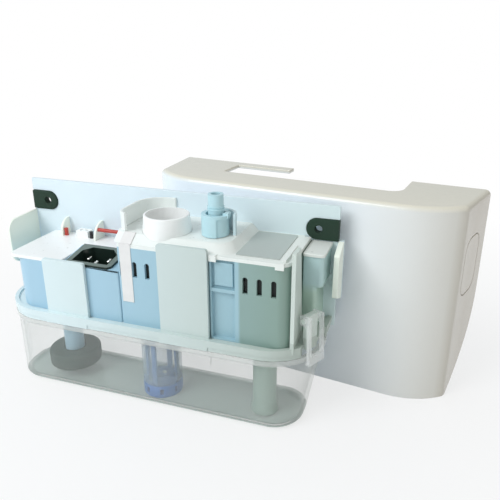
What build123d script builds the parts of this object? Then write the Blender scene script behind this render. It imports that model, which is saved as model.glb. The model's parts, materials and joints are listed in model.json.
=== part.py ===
"""Wall-mounted condensate pump with a lift-off cover, built as separate pieces. Units: millimetres.

Frame: X to the right along the wall, Y back towards the wall, Z up. The origin is the centre
of the flat base of the reservoir tank, on which the pump can stand.
"""

from build123d import *
from math import cos, radians, sin
import os

os.makedirs("parts", exist_ok=True)

# ---------------------------------------------------------------------------
# Driving dimensions
# ---------------------------------------------------------------------------

# Clearances
flat_gap = 0.3          # between flat faces of pieces that come apart
running_gap = 0.3       # between round faces that slide or turn on each other
slip_gap = 0.15         # between a fixed piece and the hole it drops into
pin_running_gap = 0.06  # radial, of a pin or piston in its bore

rim_width = 208.0

# Back plate, on the wall
plate_overhang = 1.5    # beyond the rim, at each end
plate_width = rim_width + 2 * plate_overhang
plate_thick = 2.5
plate_face_y = 31.0     # front face
plate_top = 121.5
plate_foot = 46.0

# Wings at the plate's ends: thin and deep at the left, thick and shallow at the right
left_wing_reach = 29.0
left_wing_thick = 1.6
left_wing_tops = (100.0, 99.2)    # at the plate and at the front
left_wing_feet = (60.0, 72.0)
left_wing_corner = 7.0
right_wing_reach = 13.0
right_wing_thick = 3.2
right_wing_tops = (101.0, 96.5)
right_wing_feet = (65.0, 70.5)
right_wing_corner = 1.5

# Wall-screw grommets
grommet_length = 19.5
grommet_height = 13.0
grommet_z = 107.0
grommet_proud = 1.2
grommet_inset = 12.0     # of the screw hole from the plate's end
screw_hole_r = 2.25

# Rim frame: band round the top of the tank, with the deck inside it
rim_front_y = -21.8
rim_corner = 32.0
rim_foot = 45.6
rim_height = 6.7
rim_wall = 2.4
deck_thick = 2.4
deck_step = 0.9         # deck surface below the band's top
band_step = 0.5         # the band's lower part is set back
band_step_height = 2.6
latch_gap_inset = 8.7   # the band stops this far from its right-hand end, beside the latch
latch_gap_back = 16.0

# Guard panels that rise from the rim
panel_thick = 2.2
panel_front_y = -19.0
left_panel_x = (-64.0, -35.0)
left_panel_top = 87.0
right_panel_x = (13.7, 43.9)
right_panel_top = 105.6
panel_corner = 1.5
post_gap = 0.5          # between the pump housing and the post
post_thick = 2.2
post_top_y = (-15.4, -5.0)   # the post is a web, deeper at its foot
post_foot_y = (-15.4, 4.0)
post_top = 108.0

# Housings on the deck
block_front_y = -16.6
shell_wall = 1.8
end_inset = 14.0        # of the left housing from the rim's end
left_block_x = (end_inset - rim_width / 2, -53.0)
left_block_corner = 14.0
left_block_top = 84.0
inlet_block_x = (-52.6, -13.0)
inlet_block_top_front = 84.0
vent_block_x = (-12.7, 43.4)
bay_x = 60.4
pump_block_inset = 14.5  # of the pump housing from the rim's end
pump_block_x = (43.8, rim_width / 2 - pump_block_inset)
post_x = (pump_block_x[1] + post_gap, pump_block_x[1] + post_gap + post_thick)
main_block_top = 100.0
bay_recess = 2.4
bay_ledge_z = 81.0
bay_ledge_height = 2.0
side_block_gap = 0.4    # between the pump housing and the side housing
side_block_inset = 2.5   # from the rim's end
side_block_x = (pump_block_x[1] + side_block_gap, rim_width / 2 - side_block_inset)
side_block_front_y = 9.0
side_block_top = 98.0
side_step_z = 80.0
block_corner = 2.5
pump_block_corner = 7.0

# Vent slots
slot_width = 2.9
slot_height = 9.6
slot_mid_z = 87.0
slot_pitch = 8.0
left_slots_x = -2.0
right_slots_x = 72.8

# Lids
lid_thick = 2.0
lid_overhang = 1.0
left_lid_corner = 6.0
plinth_top_x = (-17.2, 52.5)
plinth_foot_x = (-17.2, 57.0)
plinth_top_y = -9.5      # its front edge, and that of its foot
plinth_foot_y = -15.5
plinth_height = 4.4
plinth_corners = (6.0, 9.0)
skirt_x = (-17.2, -13.2)  # lip under the plinth's overhang, beside the vent housing
skirt_foot = 98.0
clip_left_x = (44.2, 48.6)
clip_width = 4.8
clip_right_inset = 3.2   # from the lid's right-hand end
clip_right_x = (pump_block_x[1] - clip_right_inset - clip_width, pump_block_x[1] - clip_right_inset)
clip_foot = 98.8
clip_proud = 1.0
clip_lap = 1.6           # of each clip onto the lid's top
rib_width = 2.0
rib_inset = 2.9          # from the lid's right-hand end
rib_x = (pump_block_x[1] - rib_inset - rib_width, pump_block_x[1] - rib_inset)
rib_y = (-14.5, 10.0)
rib_height = 1.6

# Mains inlet, three-pin
inlet_x = -34.5
inlet_width = 31.0
inlet_depth = 22.0
inlet_front_y = -15.6
inlet_tilt = 10.0
inlet_chamfer = 5.0
inlet_body = 22.0
socket_width = 24.5
socket_depth = 16.5
socket_sink = 17.0
pin_spacing = 14.0
pin_offset = 4.0
pin_width = 2.0
pin_thick = 4.0
pin_length = 13.6

# Drain socket, strainer and drop tube
drain_x = 10.6
drain_y = 2.0
drain_top = 116.5
drain_outer_r = 13.3
drain_root_r = 14.2
drain_bore_r = 12.0
drop_x = 5.2
drop_y = -4.0
drop_outer_r = 12.2
drop_wall = 1.3
strainer_foot = 2.2
strainer_cup_height = 8.0
strainer_floor = 1.6
strainer_ribs = 4
strainer_rib_width = 3.0

# Guard wall beside the drain socket
guard_thick = 1.6
guard_top = 117.5
guard_side_x = -16.2
guard_side_y = (1.0, 14.0)
guard_root_x = 3.0
guard_end = (-10.6, -7.9)

# Outlet valve with its hose spigot
outlet_x = 40.2
outlet_y = 4.7
spigot_top = 130.2
spigot_r = 4.4
spigot_bore_r = 2.6
spigot_bead_r = 4.9
spigot_bead_z = 122.0
collar_r = 8.4
collar_top = 119.0
collar_step = 1.0        # of the collar's plain part, inside its sleeve and its rim
collar_rim = 1.8         # height of the rim
sleeve_from = 165.0      # degrees round from +X, over which the sleeve runs
sleeve_to = 292.0
collar_tab = 3.2
valve_stem_r = 6.0
valve_stem_length = 26.0
valve_seat_r = 9.0
valve_seat_foot = 58.0
outlet_guard_r = 11.6

# Check valve
poppet_r = 3.7
poppet_length = 6.0
poppet_spring_rest = 5.7

# Tank
tank_taper = 17.0        # by which the tank is shorter at its base than the rim
tank_base_width = rim_width - tank_taper
tank_base_y = (-20.6, 20.4)
tank_base_corner = 17.0
tank_edge = 4.5
tank_wall = 1.8
tank_back_y = 28.0
tank_back_corner = 12.0
tank_flange_height = 2.6
tank_flange_reach = 0.9

# Float and its guide
float_x = -61.7
float_y = -0.5
float_r = 16.6
float_foot = 7.5
float_height = 10.5
stem_r = 6.2
stem_cap_r = 9.5
stem_cap_height = 1.8

# Suction pipe and pump motor
pump_x = 72.8
pump_y = -4.6
suction_r = 7.0
suction_foot = 3.0
suction_bore_r = 4.0
suction_flare = 1.2
cylinder_r = 5.0
cylinder_bore_r = 4.0
cylinder_top = 97.0
piston_length = 20.0
coil_height = 24.0
coil_clear = 0.6         # above the discharge tube
coil_frame_x = 20.0
coil_frame_y = 16.8
coil_frame_thick = 1.6
coil_r = 8.3
discharge_r = 2.6
discharge_z = 60.8
coil_foot = discharge_z + discharge_r + coil_clear

# Tank hinge bar at the left, and latch at the right
hinge_bar_r = 1.2
hinge_bar_reach = 1.9    # beyond the rim's end
hinge_bar_x = -rim_width / 2 - hinge_bar_reach
hinge_bar_y = (10.0, 26.0)
hinge_bar_z = 44.0
hook_y = (12.0, 24.0)
hook_thick = 1.0
latch_angle = 28.0      # round the rim's corner, from the right-hand end
latch_width = 12.6
latch_arm = 2.0
latch_thick = 2.0
latch_pin_r = 1.5
latch_pin_z = 67.0
latch_pin_inset = 2.0    # of the pin's axis, behind the rim's face
latch_head = 3.0        # above the pin's axis
latch_lip = 1.1
latch_grip = 0.6        # how far the lip reaches under the flange when shut
latch_rest_angle = 3.0  # the latch stands this far open

# Cover, taken off and standing behind the pump. Its own frame has X along its front face, which
# is at Y 0, and Y into it.
cover_middle = (70.0, 46.0)   # of its front
cover_turn = -8.0
cover_place = Location((*cover_middle, 0), (0, 0, cover_turn))
cover_half_width = 110.0   # at the back
cover_depth = 58.0
cover_height = 124.0
cover_wall = 2.4
cover_flat_x = 69.5        # half the length of the flat part of the front
cover_corner = 45.0        # radius of each front corner
cover_corner_angle = 48.0  # degrees through which the corner turns
cover_soft_edge = 6.0      # between each corner and the flared end
cover_edge = 3.5           # round the top
notch_x = (-20.0, 62.0)
notch_depth = 30.0
notch_corner = 8.0
plug_hole_x = (-60.0, -10.0)
plug_tongue = 8.0          # behind the plug opening
scoop_front = 18.0         # the ends stand on the floor as far back as this
scoop_height = 60.0
scoop_sweep = 18.0         # run of the curve along the floor
button_y = (20.0, 46.0)
button_height = 37.0
button_z = 83.5
button_gap = 0.35
button_corner = 9.0

# ---------------------------------------------------------------------------
# Derived sizes
# ---------------------------------------------------------------------------

rim_top = rim_foot + rim_height
deck_top = rim_top - deck_step
deck_foot = deck_top - deck_thick
tank_top = rim_foot - flat_gap
panel_back_y = panel_front_y + panel_thick
main_lid_top = main_block_top + lid_thick
left_lid_top = left_block_top + lid_thick
plinth_top = main_lid_top + plinth_height
stem_foot = float_foot - flat_gap - stem_cap_height
strainer_cup_top = strainer_foot + strainer_cup_height
upright = (Align.CENTER, Align.CENTER, Align.MIN)


def front_rounded(width: float, front: float, back: float, corner: float, back_corner: float = 0.0):
    """Sketch face of a rectangle across X whose two front corners are rounded."""
    with BuildSketch(mode=Mode.PRIVATE) as outline:
        with Locations((0, (front + back) / 2)):
            Rectangle(width, back - front)
        fillet(outline.vertices().group_by(Axis.Y)[0], corner)
        if back_corner:
            fillet(outline.vertices().group_by(Axis.Y)[-1], back_corner)
    return outline.sketch


def finish(piece, name: str, place=Location()):
    """Label a finished piece and write its file, moved to its place."""
    made = piece.part.moved(place)
    made.label = name
    export_step(made, f"parts/{name}.step")


# ---------------------------------------------------------------------------
# Back plate with its wings, cable fins and guard wall
# ---------------------------------------------------------------------------

half_plate = plate_width / 2
grommet_x = half_plate - grommet_inset
fin_places = ((-79.8, 9.0), (-53.2, 11.0))   # X of each cable fin and how far it reaches forward
fin_thick = 1.6
fin_foot = left_lid_top
fin_top = 97.0

with BuildPart() as back_plate:
    with BuildSketch(Plane.XZ.offset(-plate_face_y)):
        with Locations((0, (plate_top + plate_foot) / 2)):
            Rectangle(plate_width, plate_top - plate_foot)
        with Locations((-half_plate + grommet_length / 2, grommet_z), (half_plate - grommet_length / 2, grommet_z)):
            Rectangle(grommet_length, grommet_height, mode=Mode.SUBTRACT)
    extrude(amount=-plate_thick)
    # Rounded inner end of each grommet's slot
    for side in (-1, 1):
        with BuildSketch(Plane.XZ.offset(-plate_face_y)):
            slot_end = side * (half_plate - grommet_length)
            with Locations((slot_end + side * grommet_height / 4, grommet_z)):
                Rectangle(grommet_height / 2, grommet_height)
            with Locations((slot_end + side * grommet_height / 2, grommet_z)):
                Circle(grommet_height / 2, mode=Mode.SUBTRACT)
        extrude(amount=-plate_thick)
    # Wings, with sloping tops and feet
    plate_back_y = plate_face_y + plate_thick
    with BuildSketch(Plane.YZ.offset(-half_plate)):
        left_wing_front = plate_face_y - left_wing_reach
        with BuildLine():
            Polyline(
                (plate_face_y, left_wing_feet[0]),
                (plate_face_y, left_wing_tops[0]),
                (left_wing_front, left_wing_tops[1]),
                (left_wing_front, left_wing_feet[1]),
                close=True,
            )
        make_face()
        fillet(vertices().group_by(Axis.X)[0], left_wing_corner)
    extrude(amount=left_wing_thick)
    with BuildSketch(Plane.YZ.offset(half_plate)):
        right_wing_front = plate_face_y - right_wing_reach
        with BuildLine():
            Polyline(
                (plate_back_y, right_wing_feet[0]),
                (plate_back_y, right_wing_tops[0]),
                (plate_face_y, right_wing_tops[0]),
                (right_wing_front, right_wing_tops[1]),
                (right_wing_front, right_wing_feet[1]),
                (plate_face_y, right_wing_feet[0]),
                close=True,
            )
        make_face()
        fillet(vertices().group_by(Axis.X)[0], right_wing_corner)
    extrude(amount=right_wing_thick)
    # Cable fins with half-round tops
    for fin_x, fin_reach in fin_places:
        with BuildSketch(Plane.YZ.offset(fin_x)):
            with Locations((plate_face_y - fin_reach / 2, (fin_foot + fin_top) / 2)):
                Rectangle(fin_reach, fin_top - fin_foot)
            fillet(vertices().group_by(Axis.X)[0].sort_by(Axis.Y)[-1], fin_reach * 0.9)
        extrude(amount=fin_thick)

finish(back_plate, "back_plate")

# Guard wall: a thin curved wall from the plate round the left of the drain socket
with BuildPart() as socket_guard:
    with BuildSketch(Plane.XY.offset(plinth_top)):
        with BuildLine() as guard_path:
            Bezier(
                (guard_root_x, plate_face_y - guard_thick / 2),
                (guard_side_x + 6, plate_face_y - guard_thick / 2),
                (guard_side_x, guard_side_y[1] + 10),
                (guard_side_x, guard_side_y[1]),
            )
            Line((guard_side_x, guard_side_y[1]), (guard_side_x, guard_side_y[0]))
            Bezier(
                (guard_side_x, guard_side_y[0]),
                (guard_side_x, guard_side_y[0] - 6),
                (guard_end[0] - 3, guard_end[1] + 2),
                guard_end,
            )
        trace(line_width=guard_thick)
    extrude(amount=guard_top - plinth_top)
    # Nothing of it reaches into the back plate
    with Locations((0, plate_face_y + plate_width / 2, plinth_top)):
        Box(plate_width, plate_width, plate_top, mode=Mode.SUBTRACT)
finish(socket_guard, "socket_guard")

# ---------------------------------------------------------------------------
# Wall grommets: rubber pads, flat at the plate's edge and round at the inner end
# ---------------------------------------------------------------------------

for side, side_name in ((-1, "left"), (1, "right")):
    with BuildPart() as grommet:
        pad_length = grommet_length - 2 * slip_gap
        pad_height = grommet_height - 2 * slip_gap
        pad_mid = side * (half_plate - grommet_length / 2)
        with BuildSketch(Plane.XZ.offset(-plate_face_y + grommet_proud)):
            with Locations((pad_mid, grommet_z)):
                Rectangle(pad_length, pad_height)
            fillet(vertices().group_by(Axis.X)[0 if side > 0 else -1], pad_height / 2 - 0.05)
        extrude(amount=-plate_thick - 2 * grommet_proud)
        with BuildSketch(Plane.XZ.offset(-plate_face_y + grommet_proud)):
            with Locations((side * grommet_x, grommet_z)):
                Circle(screw_hole_r)
        extrude(amount=-plate_thick - 2 * grommet_proud, mode=Mode.SUBTRACT)
    finish(grommet, f"wall_grommet_{side_name}")

# ---------------------------------------------------------------------------
# Rim frame: band, deck, guard panels and post
# ---------------------------------------------------------------------------

# Upright planes through the middle of the latch, with their origin on its pin. X runs outwards
# and Y up. The latch's own plane is tipped by the angle at which it stands off the flange.
latch_out = (cos(radians(latch_angle)), -sin(radians(latch_angle)))
latch_axis = (latch_out[1], -latch_out[0], 0)
latch_pin_radius = rim_corner - latch_pin_inset
latch_pin = (
    rim_width / 2 - rim_corner + latch_pin_radius * latch_out[0],
    rim_front_y + rim_corner + latch_pin_radius * latch_out[1],
    latch_pin_z,
)
latch_lug_plane = Plane(origin=latch_pin, x_dir=(*latch_out, 0), z_dir=latch_axis)
tip_cos, tip_sin = cos(radians(latch_rest_angle)), sin(radians(latch_rest_angle))
latch_plane = Plane(origin=latch_pin, x_dir=(latch_out[0] * tip_cos, latch_out[1] * tip_cos, tip_sin), z_dir=latch_axis)

with BuildPart() as rim_frame:
    with BuildSketch(Plane.XY.offset(rim_foot)):
        add(front_rounded(rim_width, rim_front_y, plate_face_y, rim_corner))
        add(
            front_rounded(rim_width - 2 * rim_wall, rim_front_y + rim_wall, plate_face_y, rim_corner - rim_wall),
            mode=Mode.SUBTRACT,
        )
    extrude(amount=rim_height)
    # The band's lower part is set back
    with BuildSketch(Plane.XY.offset(rim_foot)):
        add(front_rounded(rim_width, rim_front_y, plate_face_y, rim_corner))
        add(
            front_rounded(rim_width - 2 * band_step, rim_front_y + band_step, plate_face_y, rim_corner - band_step),
            mode=Mode.SUBTRACT,
        )
    extrude(amount=band_step_height, mode=Mode.SUBTRACT)
    # The band stops short beside the right-hand latch
    latch_gap_depth = latch_gap_back - rim_front_y
    with Locations((rim_width - latch_gap_inset, (rim_front_y + latch_gap_back) / 2, rim_foot + rim_height / 2)):
        Box(rim_width, latch_gap_depth, rim_height, mode=Mode.SUBTRACT)
    # Deck
    with BuildSketch(Plane.XY.offset(deck_foot)):
        add(front_rounded(rim_width - 2 * rim_wall, rim_front_y + rim_wall, plate_face_y, rim_corner - rim_wall))
    extrude(amount=deck_thick)
    # Guard panels and post
    for (panel_x0, panel_x1), panel_top in ((left_panel_x, left_panel_top), (right_panel_x, right_panel_top)):
        with BuildSketch(Plane.XZ.offset(-panel_front_y)):
            with Locations(((panel_x0 + panel_x1) / 2, (rim_foot + panel_top) / 2)):
                Rectangle(panel_x1 - panel_x0, panel_top - rim_foot)
            fillet(vertices().group_by(Axis.Y)[-1], panel_corner)
        extrude(amount=-panel_thick)
        # The panel's foot runs out to the face of the band
        with Locations(((panel_x0 + panel_x1) / 2, (rim_front_y + panel_back_y) / 2, rim_foot + rim_height / 2)):
            Box(panel_x1 - panel_x0, panel_back_y - rim_front_y, rim_height)
    with BuildSketch(Plane.YZ.offset(post_x[0])):
        with BuildLine():
            Polyline(
                (post_foot_y[0], deck_foot),
                (post_top_y[0], post_top),
                (post_top_y[1], post_top),
                (post_foot_y[1], deck_foot),
                close=True,
            )
        make_face()
    extrude(amount=post_x[1] - post_x[0])
    # Hook in which the tank's hinge bar hangs
    hook_out = hinge_bar_x - hinge_bar_r - running_gap - hook_thick
    with BuildSketch(Plane.XZ.offset(-hook_y[0])):
        with BuildLine():
            Polyline(
                (-rim_width / 2 + 1.0, rim_top),
                (hook_out, rim_top),
                (hook_out, hinge_bar_z - hinge_bar_r - running_gap - hook_thick),
                (hinge_bar_x + 0.3, hinge_bar_z - hinge_bar_r - running_gap - hook_thick),
                (hinge_bar_x + 0.3, hinge_bar_z - hinge_bar_r - running_gap),
                (hook_out + hook_thick, hinge_bar_z - hinge_bar_r - running_gap),
                (hook_out + hook_thick, rim_top - 3.0),
                (-rim_width / 2 + 1.0, rim_top - 3.0),
                close=True,
            )
        make_face()
    extrude(amount=-(hook_y[1] - hook_y[0]))
    # Lug and pin of the latch
    with BuildSketch(latch_lug_plane):
        with Locations((0, (deck_foot - latch_pin_z + 3.0) / 2)):
            Rectangle(3.4, 3.0 + latch_pin_z - deck_foot)
    extrude(amount=latch_width / 2 - latch_arm - flat_gap, both=True)
    with BuildSketch(latch_lug_plane):
        Circle(latch_pin_r)
    extrude(amount=latch_width / 2, both=True)
    # Holes for the drop tube, the float guide and the suction pipe
    with BuildSketch(Plane.XY.offset(deck_foot)):
        with Locations((drop_x, drop_y)):
            Circle(drop_outer_r + slip_gap)
        with Locations((float_x, float_y)):
            Circle(stem_r + slip_gap)
        with Locations((pump_x, pump_y)):
            Circle(suction_r + slip_gap)
    extrude(amount=deck_thick, mode=Mode.SUBTRACT)
finish(rim_frame, "rim_frame")

# ---------------------------------------------------------------------------
# Housings on the deck
# ---------------------------------------------------------------------------


def housing_outline(span, front: float, back: float, left_corner: float, right_corner: float):
    """Sketch of a housing's plan with its two front corners rounded."""
    with BuildSketch(mode=Mode.PRIVATE) as outline:
        with Locations(((span[0] + span[1]) / 2, (front + back) / 2)):
            Rectangle(span[1] - span[0], back - front)
        front_corners = outline.vertices().group_by(Axis.Y)[0].sort_by(Axis.X)
        fillet(front_corners[0], left_corner)
        front_corners = outline.vertices().group_by(Axis.Y)[0].sort_by(Axis.X)
        fillet(front_corners[-1], right_corner)
    return outline.sketch


def inset(span, amount: float):
    """The span narrowed by amount at both ends."""
    return (span[0] + amount, span[1] - amount)


# Left housing, with the large round corner
with BuildPart() as left_housing:
    with BuildSketch(Plane.XY.offset(deck_top)):
        add(housing_outline(left_block_x, block_front_y, plate_face_y, left_block_corner, 1.0))
    extrude(amount=left_block_top - deck_top)
    with BuildSketch(Plane.XY.offset(deck_top)):
        add(housing_outline(inset(left_block_x, shell_wall), block_front_y + shell_wall,
                            plate_face_y - shell_wall, left_block_corner - shell_wall, 1.0))
    extrude(amount=left_block_top - deck_top - shell_wall, mode=Mode.SUBTRACT)
finish(left_housing, "left_housing")

# Inlet housing: its top slopes towards the front and carries the mains inlet
inlet_plane = Plane(
    origin=(inlet_x, inlet_front_y, inlet_block_top_front),
    x_dir=(1, 0, 0),
    z_dir=(0, -sin(radians(inlet_tilt)), cos(radians(inlet_tilt))),
)
inlet_block_top = inlet_block_top_front + 8.0
inlet_back_y = inlet_front_y + inlet_depth * cos(radians(inlet_tilt))
lid_bay_back = inlet_back_y + 1.2
with BuildPart() as inlet_housing:
    with BuildSketch(Plane.XY.offset(deck_top)):
        add(housing_outline(inlet_block_x, block_front_y, plate_face_y, 1.0, 1.0))
    extrude(amount=inlet_block_top - deck_top)
    with BuildSketch(inlet_plane):
        with Locations((0, inlet_depth)):
            Rectangle(4 * inlet_width, 6 * inlet_depth)
    extrude(amount=4 * inlet_depth, mode=Mode.SUBTRACT)
    # Behind the inlet the top is level with the lid's underside
    with Locations((inlet_x, plate_face_y, left_block_top + inlet_depth)):
        Box(2 * inlet_width, 2 * (plate_face_y - lid_bay_back + slip_gap), 2 * inlet_depth, mode=Mode.SUBTRACT)
    # Pocket for the body of the inlet
    with BuildSketch(inlet_plane):
        with Locations((0, inlet_depth / 2)):
            Rectangle(inlet_width - 4, inlet_depth - 4)
    extrude(amount=-inlet_body, mode=Mode.SUBTRACT)
finish(inlet_housing, "inlet_housing")

# Mains inlet: flange, body and shrouded socket with two bevelled corners
with BuildPart() as mains_inlet:
    with BuildSketch(inlet_plane):
        with Locations((0, inlet_depth / 2)):
            Rectangle(inlet_width, inlet_depth)
        chamfer(vertices().group_by(Axis.Y)[0], 2.0)
    extrude(amount=1.6)
    with BuildSketch(inlet_plane):
        with Locations((0, inlet_depth / 2)):
            Rectangle(inlet_width - 4 - 2 * slip_gap, inlet_depth - 4 - 2 * slip_gap)
    extrude(amount=-inlet_body + flat_gap)
    with BuildSketch(inlet_plane.offset(1.6)):
        with Locations((0, inlet_depth / 2)):
            Rectangle(socket_width, socket_depth)
        chamfer(vertices().group_by(Axis.Y)[-1], inlet_chamfer)
    extrude(amount=-socket_sink, mode=Mode.SUBTRACT)
finish(mains_inlet, "mains_inlet")

# Three flat pins in the socket
with BuildPart() as inlet_pins:
    with BuildSketch(inlet_plane.offset(1.6 - socket_sink)):
        with Locations(
            (-pin_spacing / 2, inlet_depth / 2 + pin_offset / 2),
            (pin_spacing / 2, inlet_depth / 2 + pin_offset / 2),
            (0, inlet_depth / 2 - pin_offset / 2),
        ):
            Rectangle(pin_width, pin_thick)
    extrude(amount=pin_length)
finish(inlet_pins, "inlet_pins")

# Front slots of the two big housings
slot_low = slot_mid_z - slot_height / 2


def slot_row(first_x: float):
    """Sketch of three ventilation slots, seen from the front, with round tops."""
    with BuildSketch(mode=Mode.PRIVATE) as row:
        for step in (-1, 0, 1):
            with Locations((first_x + step * slot_pitch, slot_mid_z - slot_width / 4)):
                Rectangle(slot_width, slot_height - slot_width / 2)
            with Locations((first_x + step * slot_pitch, slot_mid_z + slot_height / 2 - slot_width / 2)):
                Circle(slot_width / 2)
    return row.sketch


# Vent housing: covers the electronics and surrounds the drain socket's tube
with BuildPart() as vent_housing:
    with BuildSketch(Plane.XY.offset(deck_top)):
        add(housing_outline(vent_block_x, block_front_y, plate_face_y, 1.0, 1.0))
    extrude(amount=main_block_top - deck_top)
    with BuildSketch(Plane.XY.offset(deck_top)):
        add(housing_outline(inset(vent_block_x, shell_wall), block_front_y + shell_wall,
                            plate_face_y - shell_wall, 1.0, 1.0))
    extrude(amount=main_block_top - deck_top - shell_wall, mode=Mode.SUBTRACT)
    # Holes in its top for the drain socket and the outlet valve
    with BuildSketch(Plane.XY.offset(main_block_top - shell_wall)):
        with Locations((drain_x, drain_y)):
            Circle(drain_root_r + slip_gap)
        with Locations((outlet_x, outlet_y)):
            Circle(valve_seat_r + slip_gap)
    extrude(amount=shell_wall, mode=Mode.SUBTRACT)
    with Locations((vent_block_x[1], outlet_y, main_block_top)):
        Box(2 * (vent_block_x[1] - outlet_x), 2 * valve_seat_r, 2 * (main_block_top - valve_seat_foot) + 8,
            mode=Mode.SUBTRACT)
    with BuildSketch(Plane.XZ.offset(-block_front_y)):
        add(slot_row(left_slots_x))
    extrude(amount=-shell_wall, mode=Mode.SUBTRACT)
finish(vent_housing, "vent_housing")

# Pump housing: big block with three slots, and a recessed bay at its left
bay_span = (pump_block_x[0], bay_x)
with BuildPart() as pump_housing:
    with BuildSketch(Plane.XY.offset(deck_top)):
        add(housing_outline(pump_block_x, block_front_y, plate_face_y, 1.0, pump_block_corner))
    extrude(amount=main_block_top - deck_top)
    with BuildSketch(Plane.XY.offset(deck_top)):
        add(housing_outline((bay_x + shell_wall, pump_block_x[1] - shell_wall), block_front_y + shell_wall,
                            plate_face_y - shell_wall, 1.0, pump_block_corner - shell_wall))
        add(housing_outline((pump_block_x[0] + shell_wall, bay_x + 2 * shell_wall),
                            block_front_y + shell_wall + bay_recess, plate_face_y - shell_wall, 1.0, 1.0))
    extrude(amount=main_block_top - deck_top - shell_wall, mode=Mode.SUBTRACT)
    # Two recessed fields of the bay, above and below its ledge
    field_x = ((bay_span[0] + bay_span[1]) / 2, bay_span[1] - bay_span[0] - 3.0)
    for field_low, field_high in (
        (deck_top + 1.0, bay_ledge_z),
        (bay_ledge_z + bay_ledge_height, main_block_top),
    ):
        with Locations((field_x[0], block_front_y, (field_low + field_high) / 2)):
            Box(field_x[1], 2 * bay_recess, field_high - field_low, mode=Mode.SUBTRACT)
    # Raised panel in the upper field
    panel_low = bay_ledge_z + bay_ledge_height + 1.5
    with Locations((field_x[0], block_front_y + bay_recess * 0.75, (panel_low + main_block_top - 2) / 2)):
        Box(field_x[1] - 3.0, bay_recess / 2, main_block_top - 2 - panel_low)
    with BuildSketch(Plane.XZ.offset(-block_front_y)):
        add(slot_row(right_slots_x))
    extrude(amount=-2 * shell_wall, mode=Mode.SUBTRACT)
    # Opening at the left for the seat of the outlet valve
    with Locations((pump_block_x[0], outlet_y, (deck_top + main_block_top) / 2 + shell_wall)):
        Box(2 * (outlet_x + valve_seat_r + 1.0 - pump_block_x[0]), 2 * valve_seat_r + 2, main_block_top - deck_top + shell_wall,
            mode=Mode.SUBTRACT)
finish(pump_housing, "pump_housing")

# Side housing: narrow block at the right, waisted below its shoulder
with BuildPart() as side_housing:
    side_foot_span = (side_block_x[0], side_block_x[1] - 3.5)
    with BuildSketch(Plane.XY.offset(deck_top)):
        add(housing_outline(side_foot_span, side_block_front_y, plate_face_y, 1.0, block_corner))
    extrude(amount=side_step_z - deck_top)
    with BuildSketch(Plane.XY.offset(side_step_z)):
        add(housing_outline(side_block_x, side_block_front_y, plate_face_y, 1.0, block_corner))
    extrude(amount=side_block_top - side_step_z)
finish(side_housing, "side_housing")

# ---------------------------------------------------------------------------
# Lids
# ---------------------------------------------------------------------------

# Left lid, with a bay cut out round the inlet
left_lid_x = (left_block_x[0] - lid_overhang, vent_block_x[0] - flat_gap)
with BuildPart() as left_lid:
    with BuildSketch(Plane.XY.offset(left_block_top)):
        add(housing_outline(left_lid_x, panel_back_y, plate_face_y, left_lid_corner, 0.5))
        inlet_bay = (inlet_block_x[0] - 0.2, left_lid_x[1] + 1.0)
        bay_depth = lid_bay_back - panel_back_y
        with Locations(((inlet_bay[0] + inlet_bay[1]) / 2, panel_back_y + bay_depth / 2)):
            Rectangle(inlet_bay[1] - inlet_bay[0], bay_depth, mode=Mode.SUBTRACT)
    extrude(amount=lid_thick)
finish(left_lid, "left_lid")

# Main lid, with the plinth on which the drain socket's guard and the outlet valve stand
main_lid_x = (vent_block_x[0], pump_block_x[1])
with BuildPart() as main_lid:
    with BuildSketch(Plane.XY.offset(main_block_top)):
        add(housing_outline(main_lid_x, block_front_y, plate_face_y, 1.0, pump_block_corner))
    extrude(amount=lid_thick)
    with BuildSketch(Plane.XY.offset(main_lid_top)):
        add(housing_outline(plinth_foot_x, plinth_foot_y, plate_face_y, *plinth_corners))
    with BuildSketch(Plane.XY.offset(plinth_top)):
        add(housing_outline(plinth_top_x, plinth_top_y, plate_face_y, *plinth_corners))
    loft()
    skirt_front = plinth_top_y + plinth_corners[0]
    with Locations((sum(skirt_x) / 2, (skirt_front + plate_face_y) / 2, skirt_foot)):
        Box(skirt_x[1] - skirt_x[0], plate_face_y - skirt_front, main_lid_top - skirt_foot, align=upright)
    # Clips that hook over the front edge, and a rib along the right
    clip_y = (block_front_y - clip_proud, block_front_y + clip_lap)
    for clip_x in (clip_left_x, clip_right_x):
        with Locations((sum(clip_x) / 2, block_front_y - clip_proud / 2, clip_foot)):
            Box(clip_x[1] - clip_x[0], clip_proud, main_lid_top - clip_foot, align=upright)
        with Locations((sum(clip_x) / 2, sum(clip_y) / 2, main_block_top)):
            Box(clip_x[1] - clip_x[0], clip_y[1] - clip_y[0], lid_thick + clip_proud / 2, align=upright)
    with Locations((sum(rib_x) / 2, sum(rib_y) / 2, main_block_top)):
        Box(rib_x[1] - rib_x[0], rib_y[1] - rib_y[0], lid_thick + rib_height, align=upright)
    # Relief behind which the right-hand grommet stands proud
    with Locations((main_lid_x[1], plate_face_y, main_lid_top)):
        Box(8.0, 2 * (grommet_proud + flat_gap), 4 * lid_thick, mode=Mode.SUBTRACT)
    # Guard wall round the back of the outlet
    with BuildSketch(Plane.XY.offset(plinth_top)):
        with Locations((outlet_x, outlet_y)):
            Circle(outlet_guard_r)
            Circle(outlet_guard_r - guard_thick, mode=Mode.SUBTRACT)
        with Locations((outlet_x - outlet_guard_r, outlet_y), (outlet_x, outlet_y - outlet_guard_r)):
            Rectangle(2 * outlet_guard_r, 2 * outlet_guard_r, mode=Mode.SUBTRACT)
    extrude(amount=collar_top - plinth_top)
    # Holes for the drain socket and the outlet valve
    with BuildSketch(Plane.XY.offset(main_block_top)):
        with Locations((drain_x, drain_y)):
            Circle(drain_root_r + slip_gap)
        with Locations((outlet_x, outlet_y)):
            Circle(valve_stem_r + running_gap)
    extrude(amount=plate_top, mode=Mode.SUBTRACT)
finish(main_lid, "main_lid")

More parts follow.
